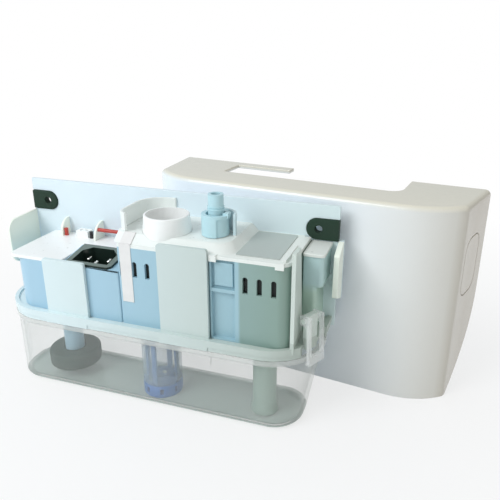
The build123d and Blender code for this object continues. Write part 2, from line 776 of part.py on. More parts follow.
# Side lid
with BuildPart() as side_lid:
    with BuildSketch(Plane.XY.offset(side_block_top)):
        add(housing_outline((side_block_x[0], side_block_x[1] + 0.8), side_block_front_y - lid_overhang, plate_face_y,
                            1.0, block_corner))
    extrude(amount=lid_thick)
finish(side_lid, "side_lid")

# Bare rating plate on the main lid
plate_label_x = (57.5, 82.0)
plate_label_y = (-11.5, 29.0)
label_thick = 0.4
with BuildPart() as rating_plate:
    with BuildSketch(Plane.XY.offset(main_lid_top)):
        with Locations((sum(plate_label_x) / 2, sum(plate_label_y) / 2)):
            RectangleRounded(plate_label_x[1] - plate_label_x[0], plate_label_y[1] - plate_label_y[0], 1.0)
    extrude(amount=label_thick)
finish(rating_plate, "rating_plate")

# Bare seal strip: up the vent housing, over the lid's edge and up the plinth's front slope
strip_x = (-10.8, -3.6)
strip_foot = 66.3
strip_end_y = -8.6
strip_lift = label_thick / 2
with BuildPart() as seal_strip:
    with BuildSketch(Plane.YZ.offset(strip_x[0])):
        with BuildLine():
            Polyline(
                (block_front_y - strip_lift, strip_foot),
                (block_front_y - strip_lift, main_lid_top + strip_lift),
                (plinth_foot_y - strip_lift, main_lid_top + strip_lift),
                (plinth_top_y - strip_lift, plinth_top + strip_lift + 0.1),
                (strip_end_y, plinth_top + strip_lift + 0.1),
            )
        trace(line_width=label_thick)
    extrude(amount=strip_x[1] - strip_x[0])
    # Nothing of it reaches into the lid
    add(main_lid.part, mode=Mode.SUBTRACT)
finish(seal_strip, "seal_strip")

# ---------------------------------------------------------------------------
# Drain socket, drop tube and strainer
# ---------------------------------------------------------------------------

socket_foot = deck_top + 0.6
with BuildPart() as drain_socket:
    with BuildSketch(Plane.XZ.offset(-drain_y)):
        with BuildLine():
            Polyline(
                (drain_x + drain_bore_r, socket_foot),
                (drain_x + drain_root_r, socket_foot),
                (drain_x + drain_root_r, plinth_top),
                (drain_x + drain_outer_r, drain_top),
                (drain_x + drain_bore_r, drain_top),
                close=True,
            )
        make_face()
        fillet(vertices().group_by(Axis.Y)[-1].sort_by(Axis.X)[-1], 0.6)
    revolve(axis=Axis((drain_x, drain_y, 0), (0, 0, 1)))
finish(drain_socket, "drain_socket")

with BuildPart() as drop_tube:
    drop_height = deck_top - strainer_cup_top
    with Locations((drop_x, drop_y, strainer_cup_top)):
        Cylinder(drop_outer_r, drop_height, align=upright)
        Cylinder(drop_outer_r - drop_wall, drop_height, align=upright, mode=Mode.SUBTRACT)
finish(drop_tube, "drop_tube")

with BuildPart() as strainer:
    with Locations((drop_x, drop_y, strainer_foot)):
        Cylinder(drop_outer_r, strainer_cup_height, align=upright)
    with Locations((drop_x, drop_y, strainer_foot + strainer_floor)):
        Cylinder(drop_outer_r - drop_wall - 1.5, strainer_cup_height, align=upright,
                 mode=Mode.SUBTRACT)
    # Drainage slots through the cup's wall
    with Locations((drop_x, drop_y, strainer_foot + strainer_cup_height / 2)):
        with PolarLocations(drop_outer_r, 2 * strainer_ribs, start_angle=180 / (2 * strainer_ribs)):
            Box(8, 2.2, strainer_cup_height - 4.0, mode=Mode.SUBTRACT)
    # Ribs that stand up inside the drop tube
    rib_outer = drop_outer_r - drop_wall - slip_gap
    with BuildSketch(Plane.XY.offset(strainer_foot + strainer_floor)):
        with Locations((drop_x, drop_y)):
            with PolarLocations(rib_outer - 0.75, strainer_ribs):
                Rectangle(1.5, strainer_rib_width)
        with Locations((drop_x, drop_y)):
            Circle(rib_outer, mode=Mode.INTERSECT)
    extrude(amount=deck_top - strainer_foot - strainer_floor)
finish(strainer, "strainer")

# ---------------------------------------------------------------------------
# Float and its guide stem
# ---------------------------------------------------------------------------

with BuildPart() as float_stem:
    with Locations((float_x, float_y, stem_foot)):
        Cylinder(stem_cap_r, stem_cap_height, align=upright)
        Cylinder(stem_r, deck_top - stem_foot, align=upright)
finish(float_stem, "float_stem")

with BuildPart() as float_ring:
    with Locations((float_x, float_y, float_foot)):
        Cylinder(float_r, float_height, align=upright)
        fillet(edges().filter_by(GeomType.CIRCLE), 2.0)
        Cylinder(stem_r + running_gap, float_height, align=upright, mode=Mode.SUBTRACT)
finish(float_ring, "float")

# ---------------------------------------------------------------------------
# Suction pipe, pump cylinder, piston and coil
# ---------------------------------------------------------------------------

suction_top = deck_top + 2.0
with BuildPart() as suction_pipe:
    with BuildSketch(Plane.XZ.offset(-pump_y)):
        with BuildLine():
            Polyline(
                (pump_x + suction_bore_r, suction_foot),
                (pump_x + suction_r + suction_flare, suction_foot),
                (pump_x + suction_r, suction_foot + 6.0),
                (pump_x + suction_r, suction_top),
                (pump_x + suction_bore_r, suction_top),
                close=True,
            )
        make_face()
    revolve(axis=Axis((pump_x, pump_y, 0), (0, 0, 1)))
finish(suction_pipe, "suction_pipe")

cylinder_foot = suction_top
with BuildPart() as pump_cylinder:
    with Locations((pump_x, pump_y, cylinder_foot)):
        Cylinder(suction_r, coil_foot - cylinder_foot - flat_gap, align=upright)
        Cylinder(cylinder_r, cylinder_top - cylinder_foot, align=upright)
        Cylinder(cylinder_bore_r, cylinder_top - cylinder_foot - 1.5, align=upright, mode=Mode.SUBTRACT)
    # Port for the discharge tube
    with Locations(Location((pump_x - suction_r / 2, pump_y, discharge_z), (0, 1, 0), 90)):
        Cylinder(discharge_r + slip_gap, suction_r + 2, mode=Mode.SUBTRACT)
finish(pump_cylinder, "pump_cylinder")

# Piston, free to slide in the cylinder, with its spring above it
piston_foot = coil_foot + (coil_height - piston_length) / 2
with BuildPart() as piston:
    with Locations((pump_x, pump_y, piston_foot)):
        Cylinder(cylinder_bore_r - pin_running_gap, piston_length, align=upright)
        Cylinder(1.0, piston_length, align=upright, mode=Mode.SUBTRACT)
finish(piston, "piston")

spring_wire = 0.7
spring_turns = 4
spring_foot = piston_foot + piston_length
spring_height = cylinder_top - 1.5 - spring_foot
with BuildPart() as piston_spring:
    spring_pitch = (spring_height - spring_wire - 0.1) / spring_turns
    spring_r = cylinder_bore_r - 1.0
    spring_path = Helix(spring_pitch, spring_pitch * spring_turns, spring_r,
                        center=(pump_x, pump_y, spring_foot + spring_wire / 2 + 0.05))
    with BuildSketch(Plane(origin=spring_path @ 0, z_dir=spring_path % 0)):
        Circle(spring_wire / 2)
    sweep(path=spring_path, is_frenet=True)
finish(piston_spring, "piston_spring")

# Coil on the cylinder, inside its steel frame
with BuildPart() as coil_frame:
    with Locations((pump_x, pump_y, coil_foot)):
        Box(coil_frame_x, coil_frame_y, coil_height, align=upright)
    with Locations((pump_x, pump_y, coil_foot + coil_frame_thick)):
        Box(coil_frame_x - 2 * coil_frame_thick, coil_frame_y + 2, coil_height - 2 * coil_frame_thick, align=upright,
            mode=Mode.SUBTRACT)
    with Locations((pump_x, pump_y, coil_foot)):
        Cylinder(cylinder_r + slip_gap, coil_height, align=upright, mode=Mode.SUBTRACT)
finish(coil_frame, "coil_frame")

with BuildPart() as coil:
    with Locations((pump_x, pump_y, coil_foot + coil_frame_thick)):
        Cylinder(coil_r, coil_height - 2 * coil_frame_thick, align=upright)
        Cylinder(cylinder_r + slip_gap, coil_height, align=upright, mode=Mode.SUBTRACT)
finish(coil, "coil")

# ---------------------------------------------------------------------------
# Outlet valve: seat under the lid, check-valve poppet, quarter-turn valve with spigot
# ---------------------------------------------------------------------------

valve_stem_lap = 2.0     # of the stem into the lid
valve_foot = main_block_top - valve_stem_length + valve_stem_lap
poppet_foot = valve_foot - poppet_spring_rest - poppet_length
with BuildPart() as outlet_seat:
    with Locations((outlet_x, outlet_y, valve_seat_foot)):
        Cylinder(valve_seat_r, main_block_top - valve_seat_foot, align=upright)
    with Locations((outlet_x, outlet_y, valve_foot - flat_gap)):
        Cylinder(valve_stem_r + running_gap, main_block_top, align=upright, mode=Mode.SUBTRACT)
    with Locations((outlet_x, outlet_y, poppet_foot - flat_gap)):
        Cylinder(poppet_r + running_gap, main_block_top, align=upright, mode=Mode.SUBTRACT)
    with Locations((outlet_x, outlet_y, discharge_z - discharge_r / 2)):
        Cylinder(poppet_r / 2, main_block_top, align=upright, mode=Mode.SUBTRACT)
    with Locations(Location((outlet_x + valve_seat_r / 2, outlet_y, discharge_z), (0, 1, 0), 90)):
        Cylinder(discharge_r + slip_gap, valve_seat_r + 1, mode=Mode.SUBTRACT)
finish(outlet_seat, "outlet_seat")

with BuildPart() as check_poppet:
    with Locations((outlet_x, outlet_y, poppet_foot)):
        Cylinder(poppet_r, poppet_length, align=upright)
        chamfer(edges().filter_by(GeomType.CIRCLE).sort_by(Axis.Z)[0], 1.2)
finish(check_poppet, "check_poppet")

with BuildPart() as poppet_spring:
    rest_height = poppet_spring_rest
    poppet_pitch = (rest_height - spring_wire - 0.1) / spring_turns
    poppet_path = Helix(poppet_pitch, poppet_pitch * spring_turns, poppet_r - 1.0,
                        center=(outlet_x, outlet_y, poppet_foot + poppet_length + spring_wire / 2 + 0.05))
    with BuildSketch(Plane(origin=poppet_path @ 0, z_dir=poppet_path % 0)):
        Circle(spring_wire / 2)
    sweep(path=poppet_path, is_frenet=True)
finish(poppet_spring, "poppet_spring")

collar_foot = plinth_top + flat_gap
collar_wall = 2.0
sleeve_reach = 2 * collar_r
with BuildPart() as outlet_valve:
    with Locations((outlet_x, outlet_y, valve_foot)):
        Cylinder(valve_stem_r, collar_foot - valve_foot + 1, align=upright)
    with Locations((outlet_x, outlet_y, collar_foot)):
        Cylinder(collar_r - collar_step, collar_top - collar_foot, align=upright)
    # Sleeve round the front left, and the rim
    with BuildSketch(Plane.XY.offset(collar_foot)):
        with Locations((outlet_x, outlet_y)):
            Circle(collar_r)
        with BuildLine():
            corners = [
                (outlet_x + sleeve_reach * cos(radians(angle)), outlet_y + sleeve_reach * sin(radians(angle)))
                for angle in (sleeve_from, (sleeve_from + sleeve_to) / 2, sleeve_to)
            ]
            Polyline((outlet_x, outlet_y), *corners, close=True)
        make_face(mode=Mode.INTERSECT)
    extrude(amount=collar_top - collar_foot)
    with Locations((outlet_x, outlet_y, collar_top - collar_rim)):
        Cylinder(collar_r, collar_rim, align=upright)
    # Tab on the rim, at the right
    with Locations((outlet_x + collar_r - collar_tab / 2, outlet_y - collar_tab / 2, collar_top - collar_rim)):
        Box(collar_tab, collar_tab, collar_rim + 1.2, align=upright)
    with Locations((outlet_x, outlet_y, collar_foot + 3)):
        Cylinder(collar_r - collar_wall - collar_step / 2, collar_top, align=upright, mode=Mode.SUBTRACT)
    with Locations((outlet_x, outlet_y, collar_foot + 1)):
        Cylinder(spigot_r, spigot_top - collar_foot - 1, align=upright)
    with Locations((outlet_x, outlet_y, spigot_bead_z)):
        Cone(spigot_r, spigot_bead_r, 1.2, align=upright)
    with Locations((outlet_x, outlet_y, spigot_bead_z - 0.8)):
        Cylinder(spigot_bead_r, 0.8, align=upright)
    with Locations((outlet_x, outlet_y, valve_foot)):
        Cylinder(spigot_bore_r, spigot_top, align=upright, mode=Mode.SUBTRACT)
finish(outlet_valve, "outlet_valve")

# Discharge tube from the cylinder's port to the seat
with BuildPart() as discharge_tube:
    with BuildLine() as discharge_path:
        FilletPolyline(
            (pump_x - suction_r + 1.0, pump_y, discharge_z),
            (pump_x - suction_r - 6.0, pump_y, discharge_z),
            (outlet_x + valve_seat_r + 5.0, outlet_y, discharge_z),
            (outlet_x + valve_seat_r - 1.0, outlet_y, discharge_z),
            radius=4.0,
        )
    with BuildSketch(Plane(origin=discharge_path.line @ 0, z_dir=discharge_path.line % 0)):
        Circle(discharge_r)
        Circle(discharge_r - 0.9, mode=Mode.SUBTRACT)
    sweep()
finish(discharge_tube, "discharge_tube")

# ---------------------------------------------------------------------------
# Electronics and wiring
# ---------------------------------------------------------------------------

board_clear = 5.0        # from the housing's ends
board_x = (left_block_x[0] + board_clear, left_block_x[1] - board_clear)
board_y = 20.0
board_thick = 1.6
board_height = 26.0
transformer_size = (13.0, 11.0, 14.0)
transformer_inset = 8.0   # of its middle from the board's end
transformer_lift = 5.0
relay_size = (8.0, 8.0, 10.0)
relay_inset = 6.0
relay_lift = 4.0
with BuildPart() as circuit_board:
    with Locations((sum(board_x) / 2, board_y, deck_top)):
        Box(board_x[1] - board_x[0], board_thick, board_height, align=upright)
    # Transformer and relay on the board's front
    board_front_y = board_y - board_thick / 2
    with Locations(
        (board_x[0] + transformer_inset, board_front_y - transformer_size[1] / 2, deck_top + transformer_lift)
    ):
        Box(*transformer_size, align=upright)
    with Locations((board_x[1] - relay_inset, board_front_y - relay_size[1] / 2, deck_top + relay_lift)):
        Box(*relay_size, align=upright)
finish(circuit_board, "circuit_board")

terminal_x = (-68.5, -59.5)
terminal_y = (23.0, 29.0)
terminal_height = 4.4
terminal_hole_r = 1.2
with BuildPart() as terminal_block:
    with Locations((sum(terminal_x) / 2, sum(terminal_y) / 2, left_lid_top)):
        Box(terminal_x[1] - terminal_x[0], terminal_y[1] - terminal_y[0], terminal_height, align=upright)
    with Locations((sum(terminal_x) / 2, sum(terminal_y) / 2, left_lid_top + terminal_height / 2)):
        with GridLocations(4.0, 0, 2, 1):
            Cylinder(terminal_hole_r, terminal_height, align=upright, mode=Mode.SUBTRACT)
finish(terminal_block, "terminal_block")

# Red wire held straight between the right-hand cable fin and the vent housing, and its other
# length, which stands on the lid beside the left-hand fin
wire_r = 1.2
wire_lift = 6.5         # above the lid
wire_standoff = 7.0     # in front of the plate
wire_z = left_lid_top + wire_lift
wire_y = plate_face_y - wire_standoff
wire_start = fin_places[1][0] + fin_thick
wire_end = vent_block_x[0] - flat_gap
wire_drop_x = fin_places[0][0] + fin_thick + wire_r + flat_gap
wire_drop_height = 5.0
with BuildPart() as red_wire:
    with Locations(Location((wire_start, wire_y, wire_z), (0, 1, 0), 90)):
        Cylinder(wire_r, wire_end - wire_start, align=upright)
    with Locations((wire_drop_x, wire_y, left_lid_top)):
        Cylinder(wire_r, wire_drop_height, align=upright)
finish(red_wire, "red_wire")

# Black wire beside the terminal block
black_wire_x = -57.3
black_wire_height = 4.6
with BuildPart() as black_wire:
    with Locations((black_wire_x, wire_y, left_lid_top)):
        Cylinder(wire_r, black_wire_height, align=upright)
finish(black_wire, "black_wire")

# ---------------------------------------------------------------------------
# Reservoir tank and its latch
# ---------------------------------------------------------------------------

flange_foot = tank_top - tank_flange_height
wall_front = rim_front_y + tank_flange_reach
wall_width = rim_width - 2 * tank_flange_reach


def tank_section(shrink: float, at_top: bool):
    """Plan of the tank, at its base or at its top, drawn in by shrink."""
    if at_top:
        width, front, back = wall_width, wall_front, tank_back_y
        corner, back_corner = rim_corner - tank_flange_reach, tank_back_corner
    else:
        width, front, back = tank_base_width, *tank_base_y
        corner, back_corner = tank_base_corner, tank_base_corner
    return front_rounded(width - 2 * shrink, front + shrink, back - shrink, corner - shrink, back_corner - shrink)


with BuildPart() as tank:
    with BuildSketch(Plane.XY):
        add(tank_section(0.0, False))
    with BuildSketch(Plane.XY.offset(tank_top)):
        add(tank_section(0.0, True))
    loft()
    fillet(faces().sort_by(Axis.Z)[0].edges(), tank_edge)
    with BuildSketch(Plane.XY.offset(flange_foot)):
        add(front_rounded(rim_width, rim_front_y, tank_back_y, rim_corner, tank_back_corner))
    extrude(amount=tank_flange_height)
    with BuildPart(mode=Mode.PRIVATE) as cavity:
        with BuildSketch(Plane.XY.offset(tank_wall)):
            add(tank_section(tank_wall, False))
        with BuildSketch(Plane.XY.offset(tank_top)):
            add(tank_section(tank_wall, True))
        loft()
        fillet(faces().sort_by(Axis.Z)[0].edges(), tank_edge - tank_wall)
    add(cavity.part, mode=Mode.SUBTRACT)
    # Hinge bar, carried by a web from the flange
    with BuildSketch(Plane.XZ.offset(-hinge_bar_y[0])):
        with Locations((hinge_bar_x, hinge_bar_z)):
            Circle(hinge_bar_r)
        web_end = -rim_width / 2 + 0.5
        with Locations(((hinge_bar_x + web_end) / 2, hinge_bar_z)):
            Rectangle(web_end - hinge_bar_x, 1.4)
    extrude(amount=-(hinge_bar_y[1] - hinge_bar_y[0]))
finish(tank, "tank")

# Clear U-shaped latch that swings on the frame's pin and grips the tank's flange
with BuildPart() as tank_latch:
    grip_y = flange_foot - flat_gap - 0.1 - latch_pin_z
    latch_face = latch_pin_inset + flat_gap + 0.1
    lip_x = latch_pin_inset - latch_grip
    with BuildSketch(latch_plane):
        with BuildLine():
            Polyline(
                (latch_face + latch_thick, grip_y - latch_lip),
                (latch_face + latch_thick, latch_head),
                (-latch_pin_r - 0.8, latch_head),
                (-latch_pin_r - 0.8, -latch_pin_r - 1.0),
                (latch_face, -latch_pin_r - 1.0),
                (latch_face, grip_y),
                (lip_x, grip_y),
                (lip_x, grip_y - latch_lip),
                close=True,
            )
        make_face()
    extrude(amount=latch_width / 2, both=True)
    # Window between the two arms, above the bridge
    bridge_height = 4.0
    with BuildSketch(latch_plane):
        with Locations((0, (grip_y + bridge_height + 2 * latch_head) / 2)):
            Rectangle(8 * latch_thick, 2 * latch_head - grip_y - bridge_height)
    extrude(amount=latch_width / 2 - latch_arm, both=True, mode=Mode.SUBTRACT)
    with BuildSketch(latch_plane):
        Circle(latch_pin_r + pin_running_gap)
    extrude(amount=latch_width, both=True, mode=Mode.SUBTRACT)
finish(tank_latch, "tank_latch")

# ---------------------------------------------------------------------------
# Cover, with its two squeeze buttons
# ---------------------------------------------------------------------------

corner_end = (
    cover_flat_x + cover_corner * sin(radians(cover_corner_angle)),
    cover_corner * (1 - cos(radians(cover_corner_angle))),
)
corner_middle = (
    cover_flat_x + cover_corner * sin(radians(cover_corner_angle / 2)),
    cover_corner * (1 - cos(radians(cover_corner_angle / 2))),
)
cover_flare = (cover_half_width - corner_end[0]) / (cover_depth - corner_end[1])
hollow_back = cover_depth + 10 * cover_wall


def cover_plan(back: float):
    """Plan of the cover in its own frame, as far back as back: flat front, round corners, flared ends."""
    half_back = corner_end[0] + cover_flare * (back - corner_end[1])
    with BuildSketch(mode=Mode.PRIVATE) as plan:
        with BuildLine():
            Line((-cover_flat_x, 0), (cover_flat_x, 0))
            ThreePointArc((cover_flat_x, 0), corner_middle, corner_end)
            Polyline(corner_end, (half_back, back), (-half_back, back), (-corner_end[0], corner_end[1]))
            ThreePointArc(
                (-corner_end[0], corner_end[1]),
                (-corner_middle[0], corner_middle[1]),
                (-cover_flat_x, 0),
            )
        make_face()
        fillet(plan.vertices().filter_by_position(Axis.Y, 1, cover_depth - 1), cover_soft_edge)
    return plan.sketch


def button_outline(shrink: float):
    """Sketch of a squeeze button's outline in the YZ plane, drawn in by shrink."""
    with BuildSketch(mode=Mode.PRIVATE) as outline:
        with Locations((sum(button_y) / 2, button_z)):
            RectangleRounded(
                button_y[1] - button_y[0] - 2 * shrink, button_height - 2 * shrink, button_corner - shrink
            )
    return outline.sketch


with BuildPart() as cover_shell:
    with BuildSketch():
        add(cover_plan(cover_depth))
    extrude(amount=cover_height)
    rear_top = faces().sort_by(Axis.Z)[-1].edges().sort_by(Axis.Y)[-1]
    fillet(faces().sort_by(Axis.Z)[-1].edges() - [rear_top], cover_edge)
    with BuildPart(mode=Mode.PRIVATE) as hollow:
        with BuildSketch():
            offset(cover_plan(hollow_back), amount=-cover_wall)
        extrude(amount=cover_height - cover_wall)
        hollow_rear = faces().sort_by(Axis.Z)[-1].edges().sort_by(Axis.Y)[-1]
        fillet(faces().sort_by(Axis.Z)[-1].edges() - [hollow_rear], cover_edge - cover_wall)
    add(hollow.part, mode=Mode.SUBTRACT)

with BuildPart() as cover:
    add(cover_shell.part)
    # Notch for the drain hose and outlet, open to the back, and beside it the plug opening
    with BuildSketch(Plane.XY.offset(cover_height - 2 * cover_edge)):
        with Locations((sum(notch_x) / 2, cover_depth)):
            RectangleRounded(notch_x[1] - notch_x[0], 2 * notch_depth, notch_corner)
        plug_hole_depth = notch_depth - plug_tongue
        with Locations((sum(plug_hole_x) / 2, cover_depth - plug_tongue - plug_hole_depth / 2)):
            Rectangle(plug_hole_x[1] - plug_hole_x[0], plug_hole_depth)
    extrude(amount=3 * cover_edge, mode=Mode.SUBTRACT)
    # The ends sweep up to the back below
    with BuildSketch(Plane.YZ.offset(-2 * cover_half_width)):
        with BuildLine():
            Line((scoop_front, 0), (cover_depth, 0))
            Line((cover_depth, 0), (cover_depth, scoop_height))
            Bezier(
                (cover_depth, scoop_height),
                (cover_depth, scoop_height * 0.5),
                (scoop_front + scoop_sweep, scoop_height * 0.2),
                (scoop_front, 0),
            )
        make_face()
    extrude(amount=4 * cover_half_width, mode=Mode.SUBTRACT)
    # Windows for the squeeze buttons
    with BuildSketch(Plane.YZ.offset(-2 * cover_half_width)):
        add(button_outline(0.0))
    extrude(amount=4 * cover_half_width, mode=Mode.SUBTRACT)
finish(cover, "cover", cover_place)

# Squeeze buttons, cut from the shape of the cover's own wall
for side, side_name in ((-2, "left"), (0, "right")):
    with BuildPart() as cover_button:
        add(cover_shell.part)
        with BuildSketch(Plane.YZ.offset(side * cover_half_width)):
            add(button_outline(button_gap))
        extrude(amount=2 * cover_half_width, mode=Mode.INTERSECT)
    finish(cover_button, f"cover_button_{side_name}", cover_place)
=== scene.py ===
"""Condensate pump: finishes, dressed meshes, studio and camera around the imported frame.

Lengths are in metres, in the frame of the part: X to the right along the wall, Y back towards
the wall, Z up, with the origin at the centre of the tank's base.
"""

import json
import logging
import math
from dataclasses import dataclass
from enum import Enum
from typing import Any, Optional, Union

import bmesh
import bpy
from mathutils import Matrix, Vector

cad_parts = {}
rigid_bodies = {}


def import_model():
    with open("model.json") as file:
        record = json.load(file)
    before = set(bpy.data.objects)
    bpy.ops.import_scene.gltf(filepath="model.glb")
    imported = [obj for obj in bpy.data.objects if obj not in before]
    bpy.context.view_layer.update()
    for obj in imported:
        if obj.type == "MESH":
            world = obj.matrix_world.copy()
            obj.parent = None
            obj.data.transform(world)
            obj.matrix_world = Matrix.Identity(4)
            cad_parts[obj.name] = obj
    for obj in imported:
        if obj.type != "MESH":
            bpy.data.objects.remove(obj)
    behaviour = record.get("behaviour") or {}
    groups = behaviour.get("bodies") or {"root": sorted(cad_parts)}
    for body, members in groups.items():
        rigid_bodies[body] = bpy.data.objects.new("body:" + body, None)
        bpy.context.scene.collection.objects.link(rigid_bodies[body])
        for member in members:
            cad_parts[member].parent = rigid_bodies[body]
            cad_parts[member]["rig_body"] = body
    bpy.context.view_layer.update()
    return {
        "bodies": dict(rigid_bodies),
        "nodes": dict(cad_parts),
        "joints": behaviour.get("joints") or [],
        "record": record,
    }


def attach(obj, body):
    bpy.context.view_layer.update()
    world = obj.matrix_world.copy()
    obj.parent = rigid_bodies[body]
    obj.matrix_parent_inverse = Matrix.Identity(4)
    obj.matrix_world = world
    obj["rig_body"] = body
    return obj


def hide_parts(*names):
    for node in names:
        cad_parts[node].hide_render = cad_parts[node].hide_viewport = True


LOG = logging.getLogger("condensate_pump")
MM = 0.001
SMOOTH_ANGLE = math.radians(34)   # edges flatter than this are shaded round
FLAT_ANGLE = math.radians(0.4)    # faces closer to level than this are one face
WELD = 0.002 * MM                 # corners closer than this are one corner
WHITE = (1.0, 1.0, 1.0)

Colour = tuple[float, float, float]
Vector3 = tuple[float, float, float]
Number = Union[int, float]


# ---------------------------------------------------------------------------
# Shader expressions
# ---------------------------------------------------------------------------

class Field:
    """A number that varies over a surface: one node socket with arithmetic."""

    def __init__(self, shader: "Shader", socket: bpy.types.NodeSocket) -> None:
        """Wrap a socket.

        Args:
            shader: The shader that the socket belongs to.
            socket: The output socket that carries the number.
        """
        self.shader = shader
        self.socket = socket

    def _math(self, operation: str, *values: "Operand") -> "Field":
        """Add one Math node and return its result."""
        return self.shader.math(operation, *values)

    def __add__(self, other: "Operand") -> "Field":
        """Sum."""
        return self._math("ADD", self, other)

    __radd__ = __add__

    def __sub__(self, other: "Operand") -> "Field":
        """Difference."""
        return self._math("SUBTRACT", self, other)

    def __rsub__(self, other: "Operand") -> "Field":
        """Difference, reflected."""
        return self._math("SUBTRACT", other, self)

    def __mul__(self, other: "Operand") -> "Field":
        """Product."""
        return self._math("MULTIPLY", self, other)

    __rmul__ = __mul__

    def __truediv__(self, other: "Operand") -> "Field":
        """Quotient."""
        return self._math("DIVIDE", self, other)

    def __pow__(self, other: "Operand") -> "Field":
        """Power."""
        return self._math("POWER", self, other)

    def above(self, other: "Operand") -> "Field":
        """One where the number is above the other, else zero."""
        return self._math("GREATER_THAN", self, other)

    def clipped(self) -> "Field":
        """The number kept between zero and one."""
        result = self._math("ADD", self, 0.0)
        result.socket.node.use_clamp = True
        return result


Operand = Union[Field, Number]


class Shader:
    """The nodes of one material or of the world, which end in one surface."""

    def __init__(self, name: str, of_world: bool = False) -> None:
        """Start an empty material, or an empty world.

        Args:
            name: The material's or the world's name.
            of_world: True for a world, whose surface is a plain background.
        """
        self.owner = (bpy.data.worlds if of_world else bpy.data.materials).new(name)
        self.owner.use_nodes = True
        self.tree = self.owner.node_tree
        self.tree.nodes.clear()
        self.output = self.node("ShaderNodeOutputWorld" if of_world else "ShaderNodeOutputMaterial")
        self.surface = self.node("ShaderNodeBackground" if of_world else "ShaderNodeBsdfPrincipled")
        self.feed(self.output.inputs["Surface"], self.surface.outputs[0])
        coordinates = self.node("ShaderNodeTexCoord").outputs["Generated" if of_world else "Object"]
        self.place = Field(self, coordinates)

    def node(self, kind: str, settings: Optional[dict[str, Any]] = None,
             inputs: Optional[dict[Union[str, int], Any]] = None) -> bpy.types.Node:
        """Add a node.

        Args:
            kind: The node's type, such as "ShaderNodeTexNoise".
            settings: The node's own settings, set before its sockets.
            inputs: The values or links of its sockets, by name or number.

        Returns:
            The new node.
        """
        made = self.tree.nodes.new(kind)
        for key, value in (settings or {}).items():
            setattr(made, key, value)
        for key, value in (inputs or {}).items():
            self.feed(made.inputs[key], value)
        return made

    def feed(self, socket: bpy.types.NodeSocket, value: Any) -> None:
        """Link a field or a socket into a socket, or set its plain value.

        Args:
            socket: The socket to feed.
            value: A field, an output socket, or a value; a colour has three channels.
        """
        if isinstance(value, Field):
            value = value.socket
        if isinstance(value, bpy.types.NodeSocket):
            self.tree.links.new(value, socket)
        elif isinstance(value, tuple) and len(value) == 3 and len(socket.default_value) == 4:
            socket.default_value = (*value, 1.0)
        else:
            socket.default_value = value

    def math(self, operation: str, *values: Operand) -> Field:
        """Add a Math node.

        Args:
            operation: The node's operation.
            values: Its operands.

        Returns:
            The result.
        """
        made = self.node("ShaderNodeMath", {"operation": operation}, dict(enumerate(values)))
        return Field(self, made.outputs[0])

    def noise(self, scale: float, detail: float = 2.0, roughness: float = 0.5,
              stretch: Optional[Vector3] = None) -> Field:
        """Noise on the piece's own coordinates.

        Args:
            scale: Waves per metre.
            detail: Octaves.
            roughness: Weight of the finer octaves.
            stretch: Factors on X, Y and Z, for streaks.

        Returns:
            A number about one half.
        """
        vector: Any = self.place
        if stretch:
            vector = self.node("ShaderNodeMapping", {}, {"Vector": vector, "Scale": stretch}).outputs[0]
        made = self.node("ShaderNodeTexNoise", {}, {"Vector": vector, "Scale": scale, "Detail": detail,
                                                    "Roughness": roughness})
        return Field(self, made.outputs["Fac"])

    def coordinate(self, axis: str) -> Field:
        """One object coordinate, "X", "Y" or "Z", in metres."""
        made = self.node("ShaderNodeSeparateXYZ", {}, {"Vector": self.place})
        return Field(self, made.outputs[axis])

    def blend(self, factor: Operand, low: Any, high: Any) -> bpy.types.NodeSocket:
        """Mix two colours.

        Args:
            factor: Zero for the first colour, one for the second.
            low: The first colour.
            high: The second colour.

        Returns:
            The mixed colour's socket.
        """
        made = self.node("ShaderNodeMix", {"data_type": "RGBA"}, {0: factor, 6: low, 7: high})
        return made.outputs[2]

    def tint(self, colour: Any, factor: Colour) -> bpy.types.NodeSocket:
        """Multiply a colour by another, channel by channel."""
        made = self.node("ShaderNodeMix", {"data_type": "RGBA", "blend_type": "MULTIPLY"},
                         {0: 1.0, 6: colour, 7: factor})
        return made.outputs[2]

    def bump(self, height: Operand, strength: float, distance: float) -> None:
        """Feed a height to the surface's normal.

        Args:
            height: The height field.
            strength: How strongly it shows.
            distance: The height of one unit, in metres.
        """
        made = self.node("ShaderNodeBump", {}, {"Height": height, "Strength": strength, "Distance": distance})
        self.feed(self.surface.inputs["Normal"], made.outputs[0])

    def rays(self, *kinds: str) -> Field:
        """One for rays of the given kinds, such as "Is Camera Ray", else zero."""
        path = self.node("ShaderNodeLightPath")
        first, *others = (Field(self, path.outputs[kind]) for kind in kinds)
        return sum(others, first).clipped()

    def whiten(self, share: Operand, kind: str) -> None:
        """Mix plain white light over the surface.

        Args:
            share: Zero for the surface alone, one for white alone.
            kind: The type of the node that gives the light.
        """
        white = self.node(kind, {}, {"Color": WHITE, "Strength": 1.0})
        mixer = self.node("ShaderNodeMixShader", {},
                          {0: share, 1: self.surface.outputs[0], 2: white.outputs[0]})
        self.feed(self.output.inputs["Surface"], mixer.outputs[0])

    def set(self, **values: Any) -> None:
        """Set or link the surface's sockets, named with underscores for spaces."""
        for key, value in values.items():
            self.feed(self.surface.inputs[key.replace("_", " ")], value)


def add_object(name: str, data: Any) -> bpy.types.Object:
    """Put an object of that name and data, a mesh, a lamp or a camera, into the scene."""
    made = bpy.data.objects.new(name, data)
    bpy.context.scene.collection.objects.link(made)
    return made


def shade(colour: Colour, factor: float) -> Colour:
    """A colour made lighter or darker by a factor."""
    return tuple(min(1.0, channel * factor) for channel in colour)


# ---------------------------------------------------------------------------
# Finishes
# ---------------------------------------------------------------------------

